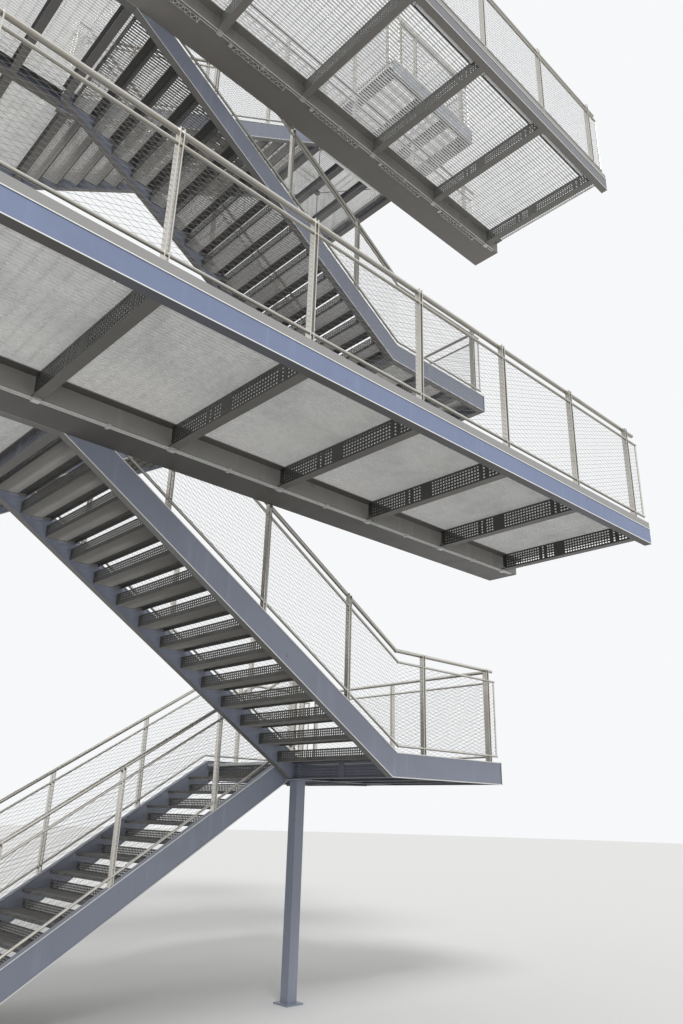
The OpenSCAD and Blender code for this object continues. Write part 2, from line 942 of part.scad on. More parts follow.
module support_post() {
    top = half_h - below;
    hole = post_plate / 2 - anchor_edge;
    color(steel)
        difference() {
            union() {
                translate([-post_plate / 2, -post_plate / 2, 0])
                    cube([post_plate, post_plate, plate_t]);
                translate([-post_w / 2, -post_w / 2, 0]) cube([post_w, post_w, top]);
                translate([-post_plate / 2, -post_plate / 2, top - plate_t])
                    cube([post_plate, post_plate, plate_t]);
            }
            for (x = [-hole, hole], y = [-hole, hole]) {
                translate([x, y, -eps]) cylinder(d = anchor_dia, h = plate_t + 2 * eps);
            }
        }
}

support_post();
flight_stringers(1);  // flight_1_stringers
flight_treads(1);  // flight_1_treads
flight_railings(1);  // flight_1_railings
half_landing_frame(1);  // half_landing_1_frame
half_landing_deck(1);  // half_landing_1_deck
half_landing_railing(1);  // half_landing_1_railing
flight_stringers(2);  // flight_2_stringers
flight_treads(2);  // flight_2_treads
flight_railings(2);  // flight_2_railings
floor_landing_frame(1);  // floor_landing_1_frame
floor_landing_deck(1);  // floor_landing_1_deck
floor_landing_railing(1);  // floor_landing_1_railing
gallery_outer_beam(1);  // gallery_1_outer_beam
gallery_inner_beam(1);  // gallery_1_inner_beam
gallery_cross_beams(1);  // gallery_1_cross_beams
gallery_deck(1);  // gallery_1_deck
gallery_railings(1);  // gallery_1_railings
flight_stringers(3);  // flight_3_stringers
flight_treads(3);  // flight_3_treads
flight_railings(3);  // flight_3_railings
half_landing_frame(2);  // half_landing_2_frame
half_landing_deck(2);  // half_landing_2_deck
half_landing_railing(2);  // half_landing_2_railing
flight_stringers(4);  // flight_4_stringers
flight_treads(4);  // flight_4_treads
flight_railings(4);  // flight_4_railings
floor_landing_frame(2);  // floor_landing_2_frame
floor_landing_deck(2);  // floor_landing_2_deck
floor_landing_railing(2);  // floor_landing_2_railing
gallery_outer_beam(2);  // gallery_2_outer_beam
gallery_inner_beam(2);  // gallery_2_inner_beam
gallery_cross_beams(2);  // gallery_2_cross_beams
gallery_deck(2);  // gallery_2_deck
gallery_railings(2);  // gallery_2_railings
flight_stringers(5);  // flight_5_stringers
flight_treads(5);  // flight_5_treads
flight_railings(5);  // flight_5_railings
half_landing_frame(3);  // half_landing_3_frame
edge_channel(3);  // half_landing_3_edge_channel
half_landing_deck(3);  // half_landing_3_deck
half_landing_railing(3);  // half_landing_3_railing
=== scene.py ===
"""Escape stair tower: the fine steelwork, finishes and studio around its CAD frame."""

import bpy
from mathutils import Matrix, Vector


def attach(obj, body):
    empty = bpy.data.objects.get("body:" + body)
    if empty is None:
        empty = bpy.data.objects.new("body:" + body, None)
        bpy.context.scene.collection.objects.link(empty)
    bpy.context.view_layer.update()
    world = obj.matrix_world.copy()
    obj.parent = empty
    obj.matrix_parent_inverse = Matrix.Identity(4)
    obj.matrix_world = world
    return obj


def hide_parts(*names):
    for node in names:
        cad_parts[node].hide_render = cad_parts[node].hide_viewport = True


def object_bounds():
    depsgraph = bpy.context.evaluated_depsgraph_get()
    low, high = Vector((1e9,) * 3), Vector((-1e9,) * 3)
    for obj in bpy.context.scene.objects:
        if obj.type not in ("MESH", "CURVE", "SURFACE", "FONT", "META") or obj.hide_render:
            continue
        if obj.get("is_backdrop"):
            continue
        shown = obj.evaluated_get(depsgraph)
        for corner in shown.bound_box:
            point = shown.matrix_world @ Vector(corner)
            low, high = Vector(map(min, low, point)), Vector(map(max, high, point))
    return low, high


bl_info = {
    "name": "Escape Stair Tower",
    "version": (1, 0, 0),
    "blender": (4, 5, 0),
    "location": "View3D > Sidebar > Stair Tower",
    "description": "Gratings, wire nets, perforations, fittings and finishes of a galleried stair",
    "category": "Object",
}

import math

import bmesh
import bpy
from bpy.props import FloatProperty, FloatVectorProperty, PointerProperty
from mathutils import Matrix, Vector

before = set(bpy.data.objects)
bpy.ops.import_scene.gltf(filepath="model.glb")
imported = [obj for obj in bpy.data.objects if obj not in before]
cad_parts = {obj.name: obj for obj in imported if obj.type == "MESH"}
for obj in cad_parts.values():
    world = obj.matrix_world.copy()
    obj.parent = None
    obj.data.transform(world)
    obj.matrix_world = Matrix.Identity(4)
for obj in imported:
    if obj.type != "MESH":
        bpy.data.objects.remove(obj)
CAD_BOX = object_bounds()

# The finished materials by name, made by the first operator and used by all others
FINISHED = {}

# The stair's parts: odd flights climb towards +X in the inner band, even ones towards -X in
# the outer band, and each gallery is level with the floor landing of its number
FLIGHTS = range(1, 6)
HALF_LANDINGS = (1, 2, 3)
FLOORS = (1, 2)

# Sizes repeated from the part's source, in metres
STOREY = 4.76
HALF = STOREY / 2
RISERS = 14
GOING = 0.27
RISE = HALF / RISERS
SLOPE = RISE / GOING
RUN = GOING * (RISERS - 1)
BELOW = 0.2
CORNER_DROP = 0.065
STUB = 0.048
EDGE_BACK = 0.314
OUTER_FOOT_X = -EDGE_BACK
OUTER_HEAD_X = OUTER_FOOT_X - RUN
INNER_HEAD_X = OUTER_FOOT_X + GOING
INNER_FOOT_X = INNER_HEAD_X - RUN
HALF_END_X = 1.712
FLOOR_END_X = OUTER_HEAD_X - 1.776
KNEE_LOW = -(BELOW - CORNER_DROP) / SLOPE
KNEE_HIGH = (HALF - BELOW + CORNER_DROP) / SLOPE
HALF_STUB_X = INNER_FOOT_X + KNEE_HIGH + STUB
FLOOR_STUB_X = OUTER_FOOT_X - KNEE_HIGH - STUB
FLIGHT_W = 1.547
OUTER_Y = -FLIGHT_W
MIDDLE_Y = 0.0
NEAR_Y = 0.155
FAR_Y = NEAR_Y + FLIGHT_W
WEB = 0.008
LIP = 0.005
FLANGE = 0.08
GRATING = 0.03
GAP = 0.004
EDGE_INSIDE = OUTER_Y - LIP + FLANGE
GALLERY_IN_Y = OUTER_Y - LIP
GALLERY_OUT_Y = GALLERY_IN_Y - 2.078
FIRST_BEAM = 5.39
BAY = 1.13
BAYS = 6
OVERHANG = 0.26
GALLERY_LEFT_X = -FIRST_BEAM - OVERHANG
GALLERY_RIGHT_X = -FIRST_BEAM + BAYS * BAY + OVERHANG
BEAMS = [-FIRST_BEAM + i * BAY for i in range(BAYS + 1)]
INNER_FLANGE = 0.39
BEAM_D = 0.17
BEAM_FT = 0.008
BEAM_WEB = 0.006
CROSS_FLANGE = 0.084
END_STRIP = 0.06
STRIP = 0.09
HOLE_ROWS = 5
HOLE_H = 0.016
SLOT_GAP = 0.01
HEAD_BACK = CROSS_FLANGE / 2 + 0.002
OUTER_HEAD_BEAM_X = OUTER_FOOT_X - KNEE_LOW + HEAD_BACK
INNER_HEAD_BEAM_X = INNER_FOOT_X + KNEE_HIGH + HEAD_BACK
FLOOR_BEAM_X = OUTER_FOOT_X - KNEE_HIGH - HEAD_BACK
FLOOR_INNER_BEAM_X = INNER_FOOT_X + KNEE_LOW - HEAD_BACK
TREAD_LAP = 0.03
TREAD_T = 0.005
NOSING_H = 0.03
KICK_H = 0.083
LOW_RAIL = 0.105
TOP_RAIL = 0.945
MESH_Y = 0.016
END_BACK = 0.045
STUB_BACK = 0.01
POST_BACK = 0.18
RAIL = 0.026

# Heights in the beams under a deck, from the deck's level
BEAM_BOTTOM = -BEAM_D - GRATING
BEAM_TOP = -GRATING
WEB_FOOT = BEAM_BOTTOM + BEAM_FT
WEB_HEAD = BEAM_TOP - BEAM_FT
ROW_FOOT = WEB_FOOT + SLOT_GAP
FIRST_ROW = ROW_FOOT + HOLE_H / 2
ROW_STEP = (BEAM_D - 2 * BEAM_FT - 2 * SLOT_GAP - HOLE_H) / (HOLE_ROWS - 1)

# The galleries' channels: columns of holes in each group of a cross beam's web, steps that
# are left out before each group, and the web's end, which curves back under the inner beam
HOLE_GROUPS = (3, 1, 17, 3, 1, 14)
GROUP_STEPS = (0, 2, 2, 5, 2, 2)
HOLE_STEPS = sum(HOLE_GROUPS) - len(HOLE_GROUPS) + sum(GROUP_STEPS)
STREET_Y = GALLERY_OUT_Y + FLANGE - LIP
INNER_EDGE_Y = GALLERY_IN_Y - INNER_FLANGE
FIRST_HOLE_Y = GALLERY_OUT_Y + 0.126
LAST_HOLE_Y = INNER_EDGE_Y - 0.09
TOP_FLANGE = 0.025
END_SHORT = 0.03
END_TURN = 0.03
END_CURVE = (1, 0.35, 0.08, 0)
ROWS_END = 0.06
INNER_TOP_OUT = 0.09
STIFFENER_T = 0.01
STIFFENER_W = 0.12

# The kick plates' rows of holes, with one lone column apart from the rest
KICK_ROWS = 3
KICK_MARGIN = 0.07
KICK_EDGE = 0.006
KICK_HOLE_SHAPE = 0.85
LONE_STEPS = 3

# The nets' distance from a corner and from a gallery's end, the shortest one, where those of
# flight 1 begin, and the guard that closes the top landing
NET_CORNER = 0.1
NET_END = 0.04
NET_LEAST = 0.03
GROUND_START = -0.05
TOP_GUARD_X = OUTER_HEAD_BEAM_X - 0.025

# What one face is set back from another in its plane, and what a filler laps its slot
HAIR = 0.0003
LAP = 0.001

# Dust at a joint and where it lies, a painted highlight along flange edges, the upper gallery's
# sides in a painted light grey, and the share of rust inside the galleries
BROWN_DUST = (0.26, 0.19, 0.13, 1.0)
EDGE_HIGHLIGHT = (0.85, 0.85, 0.83, 1.0)
UPPER_LIT_GREY = (0.2, 0.205, 0.22)
DUSTY_Y = GALLERY_OUT_Y + 0.12
INNER_RUST = 0.09

# The camera, solved from the photograph: eye in metres, turns in degrees, focal length and
# picture height in pixels
EYE = (-5.996, -7.030, 1.856)
YAW, PITCH, ROLL = 43.01, 21.114, -1.547
FOCAL, PICTURE_H = 774.93, 1024
SENSOR = 36.0
FLOOR_RADIUS = 70
KEY_FROM = (-0.35, -0.62, 0.75)
KEY_SPREAD = 12


def written(maker, **fixed):
    """A short way to write the properties of one kind."""

    def one(name, description, default):
        return maker(name=name, description=description, default=default, **fixed)

    return one


length = written(FloatProperty, min=0.0005, precision=4, unit="LENGTH")
share = written(FloatProperty, min=0, max=1, subtype="FACTOR")
strength = written(FloatProperty, min=0)
vector = written(FloatVectorProperty, size=3, min=0, max=1, subtype="COLOR")


def colour(name, what, default):
    """The colour of something."""
    return vector(name, f"Colour of the {what}", default)


def named(group):
    """The sizes of a property group by name."""
    return {name: getattr(group, name) for name in type(group).__annotations__}


class GratingSizes(bpy.types.PropertyGroup):
    """Sizes of the welded bar gratings."""

    bar_pitch: length("Bar pitch", "Distance between bearing bars", 0.033)
    bar_width: length("Bar thickness", "Thickness of a bearing bar", 0.003)
    rod_pitch: length("Rod pitch", "Distance between cross rods", 0.1)
    rod_width: length("Rod width", "Side of a cross rod", 0.0035)


class TreadSizes(bpy.types.PropertyGroup):
    """Sizes of the steps."""

    nosing: length("Nosing", "Depth of the closed strip at the front of a tread", 0.085)
    bar_depth: length("Bar depth", "Depth of a tread's bars", 0.025)
    rod_pitch: length("Rod pitch", "Distance between cross rods of a tread", 0.07)
    hole_pitch: length("Hole pitch", "Distance between holes of a kick plate", 0.032)
    hole_width: length("Hole width", "Width of a hole in a kick plate", 0.016)
    row_pitch: length("Row pitch", "Distance between a kick plate's rows of holes", 0.023)


class NetSizes(bpy.types.PropertyGroup):
    """Sizes of the wire nets in the railings."""

    diamond_length: length("Diamond length", "Length of a net's opening along its rails", 0.115)
    diamond_height: length("Diamond height", "Height of a net's opening", 0.041)
    wire: length("Wire", "Diameter of the net's wire rope", 0.0023)


class HoleSizes(bpy.types.PropertyGroup):
    """Sizes of the perforations in the beams' webs."""

    pitch: length("Hole pitch", "Distance between holes of a row", 0.032)
    bridge: length("Bridge", "Width of the steel between two holes", 0.011)
    corner: length("Corner", "Size of the holes' rounded corners", 0.0035)


class FixingSizes(bpy.types.PropertyGroup):
    """Diameters of the conduits, tubes and rods."""

    conduit: length("Conduit", "Diameter of the conduits under the galleries", 0.014)
    tube: length("Tube", "Diameter of the tubes under the decks", 0.05)
    rod: length("Rod", "Diameter of the landings' bracing rods", 0.012)
    lace: length("Lace", "Diameter of the rods that lace the trays", 0.008)


class Finishes(bpy.types.PropertyGroup):
    """Colours of the steel."""

    # Bluish: the paint's own grey with a painted sky reflection on the upright faces
    paint: colour("Stringer paint", "stringers' upright faces", (0.265, 0.29, 0.365))
    # Bluish: the paint's own grey with a painted sky reflection on the upright faces
    street: colour("Beam paint", "long beams' upright faces", (0.205, 0.25, 0.39))
    # Painted shade: the darker tone that faces looking down take
    soffit: colour("Soffit", "painted steel seen from below", (0.115, 0.108, 0.098))
    plate: colour("Edge plates", "galleries' edge plates", (0.33, 0.325, 0.32))
    web: colour("Inner webs", "long inner beams' webs", (0.27, 0.265, 0.25))
    # Painted shade: the lower gallery's cross beams are given the dark tone of the shade they stand
    # in
    shade: colour("Cross beams", "weathered cross beams", (0.034, 0.035, 0.033))
    zinc: colour("Zinc", "galvanised gratings", (0.62, 0.62, 0.61))
    # Painted shade on the nosings and kick plates; the next tone is painted light on the bars'
    # sides
    pan: colour("Treads", "nosings and kick plates", (0.095, 0.094, 0.09))
    bars: colour("Tread bars", "bars in the treads", (0.36, 0.35, 0.33))
    wire: colour("Wire", "nets", (0.3, 0.3, 0.29))
    stainless: colour("Stainless", "rails and posts", (0.72, 0.7, 0.65))
    rust: colour("Rust", "rust and brown dust", (0.17, 0.085, 0.04))
    wear: share("Wear", "How strongly dust and streaks show", 0.5)


class StudioLight(bpy.types.PropertyGroup):
    """The stage's colours and lamps."""

    floor: colour("Floor", "stage's floor", (0.8, 0.8, 0.79))
    backdrop: colour("Backdrop", "backdrop", (0.93, 0.94, 0.95))
    ambient: strength("Ambient", "Strength of the light from all sides", 0.62)
    key: strength("Key", "Strength of the soft key lamp", 1.5)


GROUPS = {
    "tower_grating": GratingSizes,
    "tower_treads": TreadSizes,
    "tower_net": NetSizes,
    "tower_holes": HoleSizes,
    "tower_fixings": FixingSizes,
    "tower_finishes": Finishes,
    "tower_light": StudioLight,
}


def maths(operation, swapped=False):
    """A method that puts a term through a Math node, before or after any others."""

    def method(self, *others):
        terms = (*others, self) if swapped else (self, *others)
        return self.plan.node("ShaderNodeMath", dict(enumerate(terms)), operation=operation)

    return method


class Term:
    """A node's output that sums and products are written with."""

    def __init__(self, plan, socket):
        self.plan = plan
        self.socket = socket

    __add__ = __radd__ = maths("ADD")
    __sub__ = maths("SUBTRACT")
    __rsub__ = maths("SUBTRACT", swapped=True)
    __mul__ = __rmul__ = maths("MULTIPLY")
    __truediv__ = maths("DIVIDE")
    __mod__ = maths("FLOORED_MODULO")
    floor = maths("FLOOR")
    root = maths("SQRT")
    absolute = maths("ABSOLUTE")
    least = maths("MINIMUM")
    most = maths("MAXIMUM")

    def __neg__(self):
        return self * -1.0

    def steps(self, low, high):
        """0 under low, 1 over high and a smooth rise between them."""
        sockets = {"Value": self, "From Min": low, "From Max": high}
        return self.plan.node("ShaderNodeMapRange", sockets, interpolation_type="SMOOTHSTEP")


class Plan:
    """A node tree that is written down node by node."""

    def __init__(self, tree):
        self.tree = tree

    def join(self, value, socket):
        """Gives a socket its value, or links it to a term or to several."""
        if isinstance(value, Term):
            self.tree.links.new(value.socket, socket)
        elif isinstance(value, list):
            for term in value:
                self.tree.links.new(term.socket, socket)
        else:
            socket.default_value = value

    def node(self, kind, sockets=None, out=0, **settings):
        """One node: its settings first, then the values or links of its sockets."""
        made = self.tree.nodes.new(kind)
        for key, value in settings.items():
            setattr(made, key, value)
        for key, value in (sockets or {}).items():
            self.join(value, made.inputs[key])
        return None if out is None else Term(self, made.outputs[out])

    def vector(self, x, y, z):
        """A vector from its three parts."""
        return self.node("ShaderNodeCombineXYZ", {"X": x, "Y": y, "Z": z})


class Recipe(Plan):
    """A Geometry Nodes tree with named inputs that ends in real geometry in one material."""

    def __init__(self, name, numbers, counts=()):
        super().__init__(bpy.data.node_groups.new(name, "GeometryNodeTree"))
        self.tree.is_modifier = True
        self.socket("Geometry", "Geometry")
        for label in numbers:
            self.socket(label, "Float")
        for label in counts:
            self.socket(label, "Int").default_value = 1
        self.socket("Material", "Material")
        self.socket("Geometry", "Geometry", "OUTPUT")

    def socket(self, label, kind, way="INPUT"):
        """An input or output of the whole tree."""
        kind = f"NodeSocket{kind}"
        return self.tree.interface.new_socket(name=label, in_out=way, socket_type=kind)

    def __getitem__(self, label):
        return self.node("NodeGroupInput", out=label)

    def index(self):
        """The number of each point."""
        return self.node("GeometryNodeInputIndex")

    def copies(self, count, centre, part, **sockets):
        """Copies of a part at centres that follow from their index."""
        points = self.node("GeometryNodePoints", {"Count": count, "Position": centre})
        sockets = {"Points": points, "Instance": part, **sockets}
        return self.node("GeometryNodeInstanceOnPoints", sockets)

    def boxes(self, count, centre, size):
        """Boxes of one size at centres that follow from their index."""
        return self.copies(count, centre, self.node("GeometryNodeMeshCube", {"Size": size}))

    def finish(self, *parts):
        """Ends the tree with all its parts as one mesh in the given material."""
        joined = self.node("GeometryNodeJoinGeometry", {0: list(parts)})
        real = self.node("GeometryNodeRealizeInstances", {0: joined})
        sockets = {"Geometry": real, "Material": self["Material"]}
        done = self.node("GeometryNodeSetMaterial", sockets)
        self.node("NodeGroupOutput", {0: done}, out=None)
        return self

    def make(self, finish, part=None, **values):
        """A plain mesh grown from the values, on a part's mesh where the tree takes one."""
        values["Material"] = FINISHED[finish]
        grown = placed("grown", part or bpy.data.meshes.new("seed"))
        modifier = grown.modifiers.new("Recipe", "NODES")
        modifier.node_group = self.tree
        for item in self.tree.interface.items_tree:
            if item.in_out == "INPUT" and item.name in values:
                modifier[item.identifier] = values[item.name]
        shown = grown.evaluated_get(bpy.context.evaluated_depsgraph_get())
        mesh = bpy.data.meshes.new_from_object(shown)
        grown.modifiers.remove(modifier)
        bpy.data.objects.remove(grown)
        return mesh


def grating_recipe():
    """Bearing bars along X, cross rods and end bands, its top at z = 0."""
    names = ("length", "width", "depth", *GratingSizes.__annotations__)
    r = Recipe("Bar grating", names)
    span, width, depth, bar_pitch, bar, rod_pitch, rod = (r[name] for name in names)
    i = r.index()
    bars = (width / bar_pitch).floor() + 1
    step = (width - bar) / (bars - 1)
    bar_at = r.vector(span / 2, bar / 2 + i * step, depth / -2)
    rods = (span / rod_pitch).floor()
    rod_at = r.vector((i + 0.5) * span / rods, width / 2, rod / -2)
    end_at = r.vector(bar / 2 + i * (span - bar), width / 2, depth / -2)
    return r.finish(
        r.boxes(bars, bar_at, r.vector(span, bar, depth)),
        r.boxes(rods, rod_at, r.vector(rod, width, rod * 0.99)),
        r.boxes(2, end_at, r.vector(bar, width, depth * 0.999)),
    )


def net_recipe():
    """Wire ropes that cross in diamonds in the X and Z plane, clipped to a leaning panel."""
    names = ("length", "height", "lean", *NetSizes.__annotations__)
    r = Recipe("Wire net", names)
    span, height, lean, diamond, rung, wire = (r[name] for name in names)
    i = r.index()
    steep = rung / diamond
    fall = steep * span
    count = ((height + fall) / rung).floor() + 1
    start = (i + 0.5) * rung
    sizes = {"Vertices": 4, "Radius": wire / 2, "Depth": 1.0}
    rope = r.node("GeometryNodeMeshCylinder", sizes)
    parts = []
    for way in (1, -1):
        if way > 0:
            low = start - fall
            first = (-low / steep).most(0.0)
            last = ((height - low) / steep).least(span)
        else:
            low = start
            first = ((low - height) / steep).most(0.0)
            last = (low / steep).least(span)
        middle = (first + last) / 2
        rise = low + middle * steep * way + lean * middle
        slope = steep * way + lean
        ahead = {"Vector": r.vector(1.0, 0.0, slope)}
        turn = r.node("FunctionNodeAlignRotationToVector", ahead, axis="Z")
        reach = (last - first).most(0.002) * (1 + slope * slope).root()
        spot, size = r.vector(middle, wire * 0.4 * way, rise), r.vector(1.0, 1.0, reach)
        parts.append(r.copies(count, spot, rope, Rotation=turn, Scale=size))
    return r.finish(*parts)


def rows_recipe():
    """Copies of a part in columns along Y and rows along Z, in groups along Y."""
    numbers, counts = ("column_step", "row_step", "group_step"), ("columns", "rows", "groups")
    r = Recipe("Rows of parts", numbers, counts)
    i, across, up = r.index(), r["columns"], r["rows"]
    each = across * up
    y = (i / each).floor() * r["group_step"] + (i % across) * r["column_step"]
    z = ((i / across).floor() % up) * r["row_step"]
    return r.finish(r.copies(each * r["groups"], r.vector(0.0, y, z), r["Geometry"]))


def at(x, y, z):
    """A place without a turn."""
    return Matrix.Translation((x, y, z))


def placed(name, data):
    """A new object in the scene."""
    made = bpy.data.objects.new(name, data)
    bpy.context.scene.collection.objects.link(made)
    return made


def part_mesh(bm, name="part"):
    """A mesh from bmesh data, which is used up."""
    mesh = bpy.data.meshes.new(name)
    bm.to_mesh(mesh)
    bm.free()
    return mesh


class Assembly:
    """Meshes set in their places and joined into one piece of the tower."""

    def __init__(self):
        self.bm = bmesh.new()

    def put(self, mesh, *places):
        """Copies of a mesh in their places; the mesh itself is used up."""
        for place in places:
            copy = mesh.copy()
            copy.transform(place)
            if place.determinant() < 0:
                copy.flip_normals()
            self.bm.from_mesh(copy)
            bpy.data.meshes.remove(copy)
        bpy.data.meshes.remove(mesh)

    def box(self, low, high):
        """A plain bar between two corners."""
        size = Vector(high) - Vector(low)
        place = Matrix.Translation((Vector(low) + Vector(high)) / 2) @ Matrix.Diagonal((*size, 1))
        bmesh.ops.create_cube(self.bm, size=1, matrix=place)

    def rod(self, start, end, diameter, sides):
        """A round rod between two points."""
        start, end = Vector(start), Vector(end)
        turn = (end - start).to_track_quat("Z", "Y").to_matrix().to_4x4()
        place = Matrix.Translation((start + end) / 2) @ turn
        size = {"radius1": diameter / 2, "radius2": diameter / 2, "depth": (end - start).length}
        bmesh.ops.create_cone(self.bm, cap_ends=True, segments=sides, matrix=place, **size)

    def finish(self, name, slot, finish, replaces=(), smooth=False):
        """The piece in one finish, riding on the tower and standing for some CAD nodes."""
        mesh = part_mesh(self.bm, name)
        mesh.materials.clear()
        mesh.materials.append(FINISHED[finish])
        mesh.polygons.foreach_set("material_index", [0] * len(mesh.polygons))
        mesh.polygons.foreach_set("use_smooth", [smooth] * len(mesh.polygons))
        piece = placed(name, mesh)
        if smooth:
            piece.data.set_sharp_from_angle(angle=math.radians(35))
        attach(piece, "root")
        if replaces:
            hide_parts(*replaces)


class Finish(Plan):
    """A procedural material on Object coordinates."""

    def __init__(self, name):
        self.material = bpy.data.materials.new(name)
        self.material.use_nodes = True
        super().__init__(self.material.node_tree)
        self.tree.nodes.clear()
        self.place = self.node("ShaderNodeTexCoord", out="Object")

    def noise(self, scale, detail, stretch=(1, 1, 1), roughness=0.55):
        """Noise over the surface, finer along an axis whose stretch is large."""
        spot = self.node("ShaderNodeMapping", {"Vector": self.place, "Scale": stretch})
        sockets = {"Vector": spot, "Scale": scale, "Detail": detail, "Roughness": roughness}
        return self.node("ShaderNodeTexNoise", sockets)

    def mix(self, share, first, second):
        """A colour between two colours."""
        sockets = {0: share, 6: first, 7: second}
        return self.node("ShaderNodeMix", sockets, 2, data_type="RGBA")

    def along(self, axis, vector=None):
        """The place, or another vector, along an axis of the object."""
        return self.node("ShaderNodeSeparateXYZ", {"Vector": vector or self.place}, axis)

    def facing(self, axis):
        """How far the surface faces along an axis of the object, from -1 to 1."""
        return self.along(axis, self.node("ShaderNodeNewGeometry", out="Normal"))

    def shine(self, tone, rough, metal=0.0, **bump):
        """The closing shader, with a bump's height, strength and distance, and the material."""
        sockets = {"Base Color": tone, "Roughness": rough, "Metallic": metal}
        if bump:
            sockets["Normal"] = self.node("ShaderNodeBump", bump, "Normal")
        shader = self.node("ShaderNodeBsdfPrincipled", sockets)
        self.node("ShaderNodeOutputMaterial", {"Surface": shader}, out=None)
        return self.material


def rgba(tone, *factors):
    """A colour for a socket, its parts times one factor or three."""
    factors = factors * 3 if len(factors) == 1 else factors or (1.0, 1.0, 1.0)
    return (*[c * f for c, f in zip(tone, factors)], 1.0)


def painted(name, tones, side, soffit, rust_share=0.06, highlight_edges=(), plate=None, dust=None):
    """Weathered paint: painted shade with some dust underneath, rain streaks on upright faces, a
    little rust, painted highlights along the edges in the planes y of some flanges, another tone
    on the edge plates, and brown dust around a point."""
    f, wear = Finish(name), tones.wear
    # Painted shade: faces that look down take the soffit tone, which also lends the dust its tone
    under = (-f.facing("Z")).steps(0.2, 0.8)
    broad = f.noise(0.7, 3.0)
    streaks = f.noise(2.2, 5.0, (6, 6, 0.5))
    grain = f.noise(55.0, 3.0)
    tone = f.mix(under, rgba(side), rgba(soffit))
    tone = f.mix(broad.steps(0.35, 0.7) * 0.5 * wear, tone, rgba(side, 0.72))
    streaked = streaks.steps(0.52, 0.75) * (1 - under) * 0.55 * wear
    tone = f.mix(streaked, tone, rgba(side, 1.45))
    dusty = f.noise(3.5, 6.0).steps(0.5, 0.72) * (0.25 + under * 0.75) * 0.6 * wear
    tone = f.mix(dusty, tone, rgba(soffit, 1.35))
    speck = f.noise(9.0, 8.0, roughness=0.7).steps(0.64, 0.72) * rust_share * 10
    tone = f.mix(speck, tone, rgba(tones.rust))
    if plate:
        level = (f.along("Z") + GRATING) % STOREY
        tone = f.mix((1 - level.steps(0.3, 0.31)) * (1 - under), tone, rgba(plate))
    if dust:
        ends = {0: f.place, 1: dust}
        away = f.node("ShaderNodeVectorMath", ends, "Value", operation="DISTANCE")
        brown = (1 - (away + f.noise(14.0, 5.0) * 0.3).steps(0.22, 0.5)) * 0.85
        tone = f.mix(brown, tone, BROWN_DUST)
    # Painted highlights: thin bright lines along the flange edges
    for y in highlight_edges:
        edge_glint = 1 - (f.along("Y") - y).absolute().steps(0.0008, 0.0016)
        tone = f.mix(edge_glint, tone, EDGE_HIGHLIGHT)
    rough = 0.42 + grain * 0.12 + dusty * 0.3
    height = grain * 0.4 + streaks * 0.2 + speck
    return f.shine(tone, rough, Height=height, Strength=0.25, Distance=0.002)


def galvanised(name, tone, wear, metal=0.55, bars=None):
    """Zinc with a mottled crystal pattern and dull patches, and painted light on a step's bar
    sides.
    """
    f = Finish(name)
    cells = f.node("ShaderNodeTexVoronoi", {"Vector": f.place, "Scale": 55.0}, "Color")
    fleck = f.node("ShaderNodeSeparateColor", {0: cells})
    broad = f.noise(1.1, 4.0)
    dull = f.noise(6.0, 5.0).steps(0.42, 0.7)
    base = f.mix(fleck * 0.5, rgba(tone, 0.88), rgba(tone, 1.15))
    base = f.mix(dull * 0.7 * wear, base, rgba(tone, 0.75))
    base = f.mix(broad.steps(0.4, 0.75) * 0.5 * wear, base, rgba(tone, 1.1, 1.05, 1.0))
    # Painted light: faces that look along Y, the bars' sides, take the lighter bars tone
    if bars:
        base = f.mix(f.facing("Y").absolute().steps(0.5, 0.8), base, rgba(bars))
    rough = 0.38 + dull * 0.25 + fleck * 0.1
    height = fleck * 0.3 + dull
    return f.shine(base, rough, metal, Height=height, Strength=0.15, Distance=0.001)


def stainless(name, tone):
    """Ground stainless steel with faint marks along the rails and painted shade underneath."""
    f = Finish(name)
    marks = f.noise(40.0, 4.0, (0.4, 6, 6))
    stains = f.noise(3.0, 5.0).steps(0.5, 0.75)
    # Painted shade: faces that look down, and partly those that look sideways, darken
    under = (-f.facing("Z")).steps(-0.35, 0.6)
    base = f.mix(marks.steps(0.3, 0.7) * 0.35, rgba(tone, 1.15), rgba(tone, 0.85))
    base = f.mix(stains * 0.45, base, rgba(tone, 0.8, 0.72, 0.58))
    base = f.mix(under * 0.75, base, rgba(tone, 0.3, 0.29, 0.27))
    rough = 0.24 + marks * 0.12 + stains * 0.1
    return f.shine(base, rough, 1.0, Height=marks, Strength=0.06, Distance=0.001)


# The finish of each CAD node by the first of these that its name holds, or else "stringers"
NODE_FINISHES = {
    "railing": "stainless",
    "deck": "zinc",
    "treads": "treads",
    "1_outer_beam": "outer_1",
    "2_outer_beam": "outer_2",
    "inner_beam": "inner_1",
    "cross_beams": "cross_1",
    "frame": "frames",
}


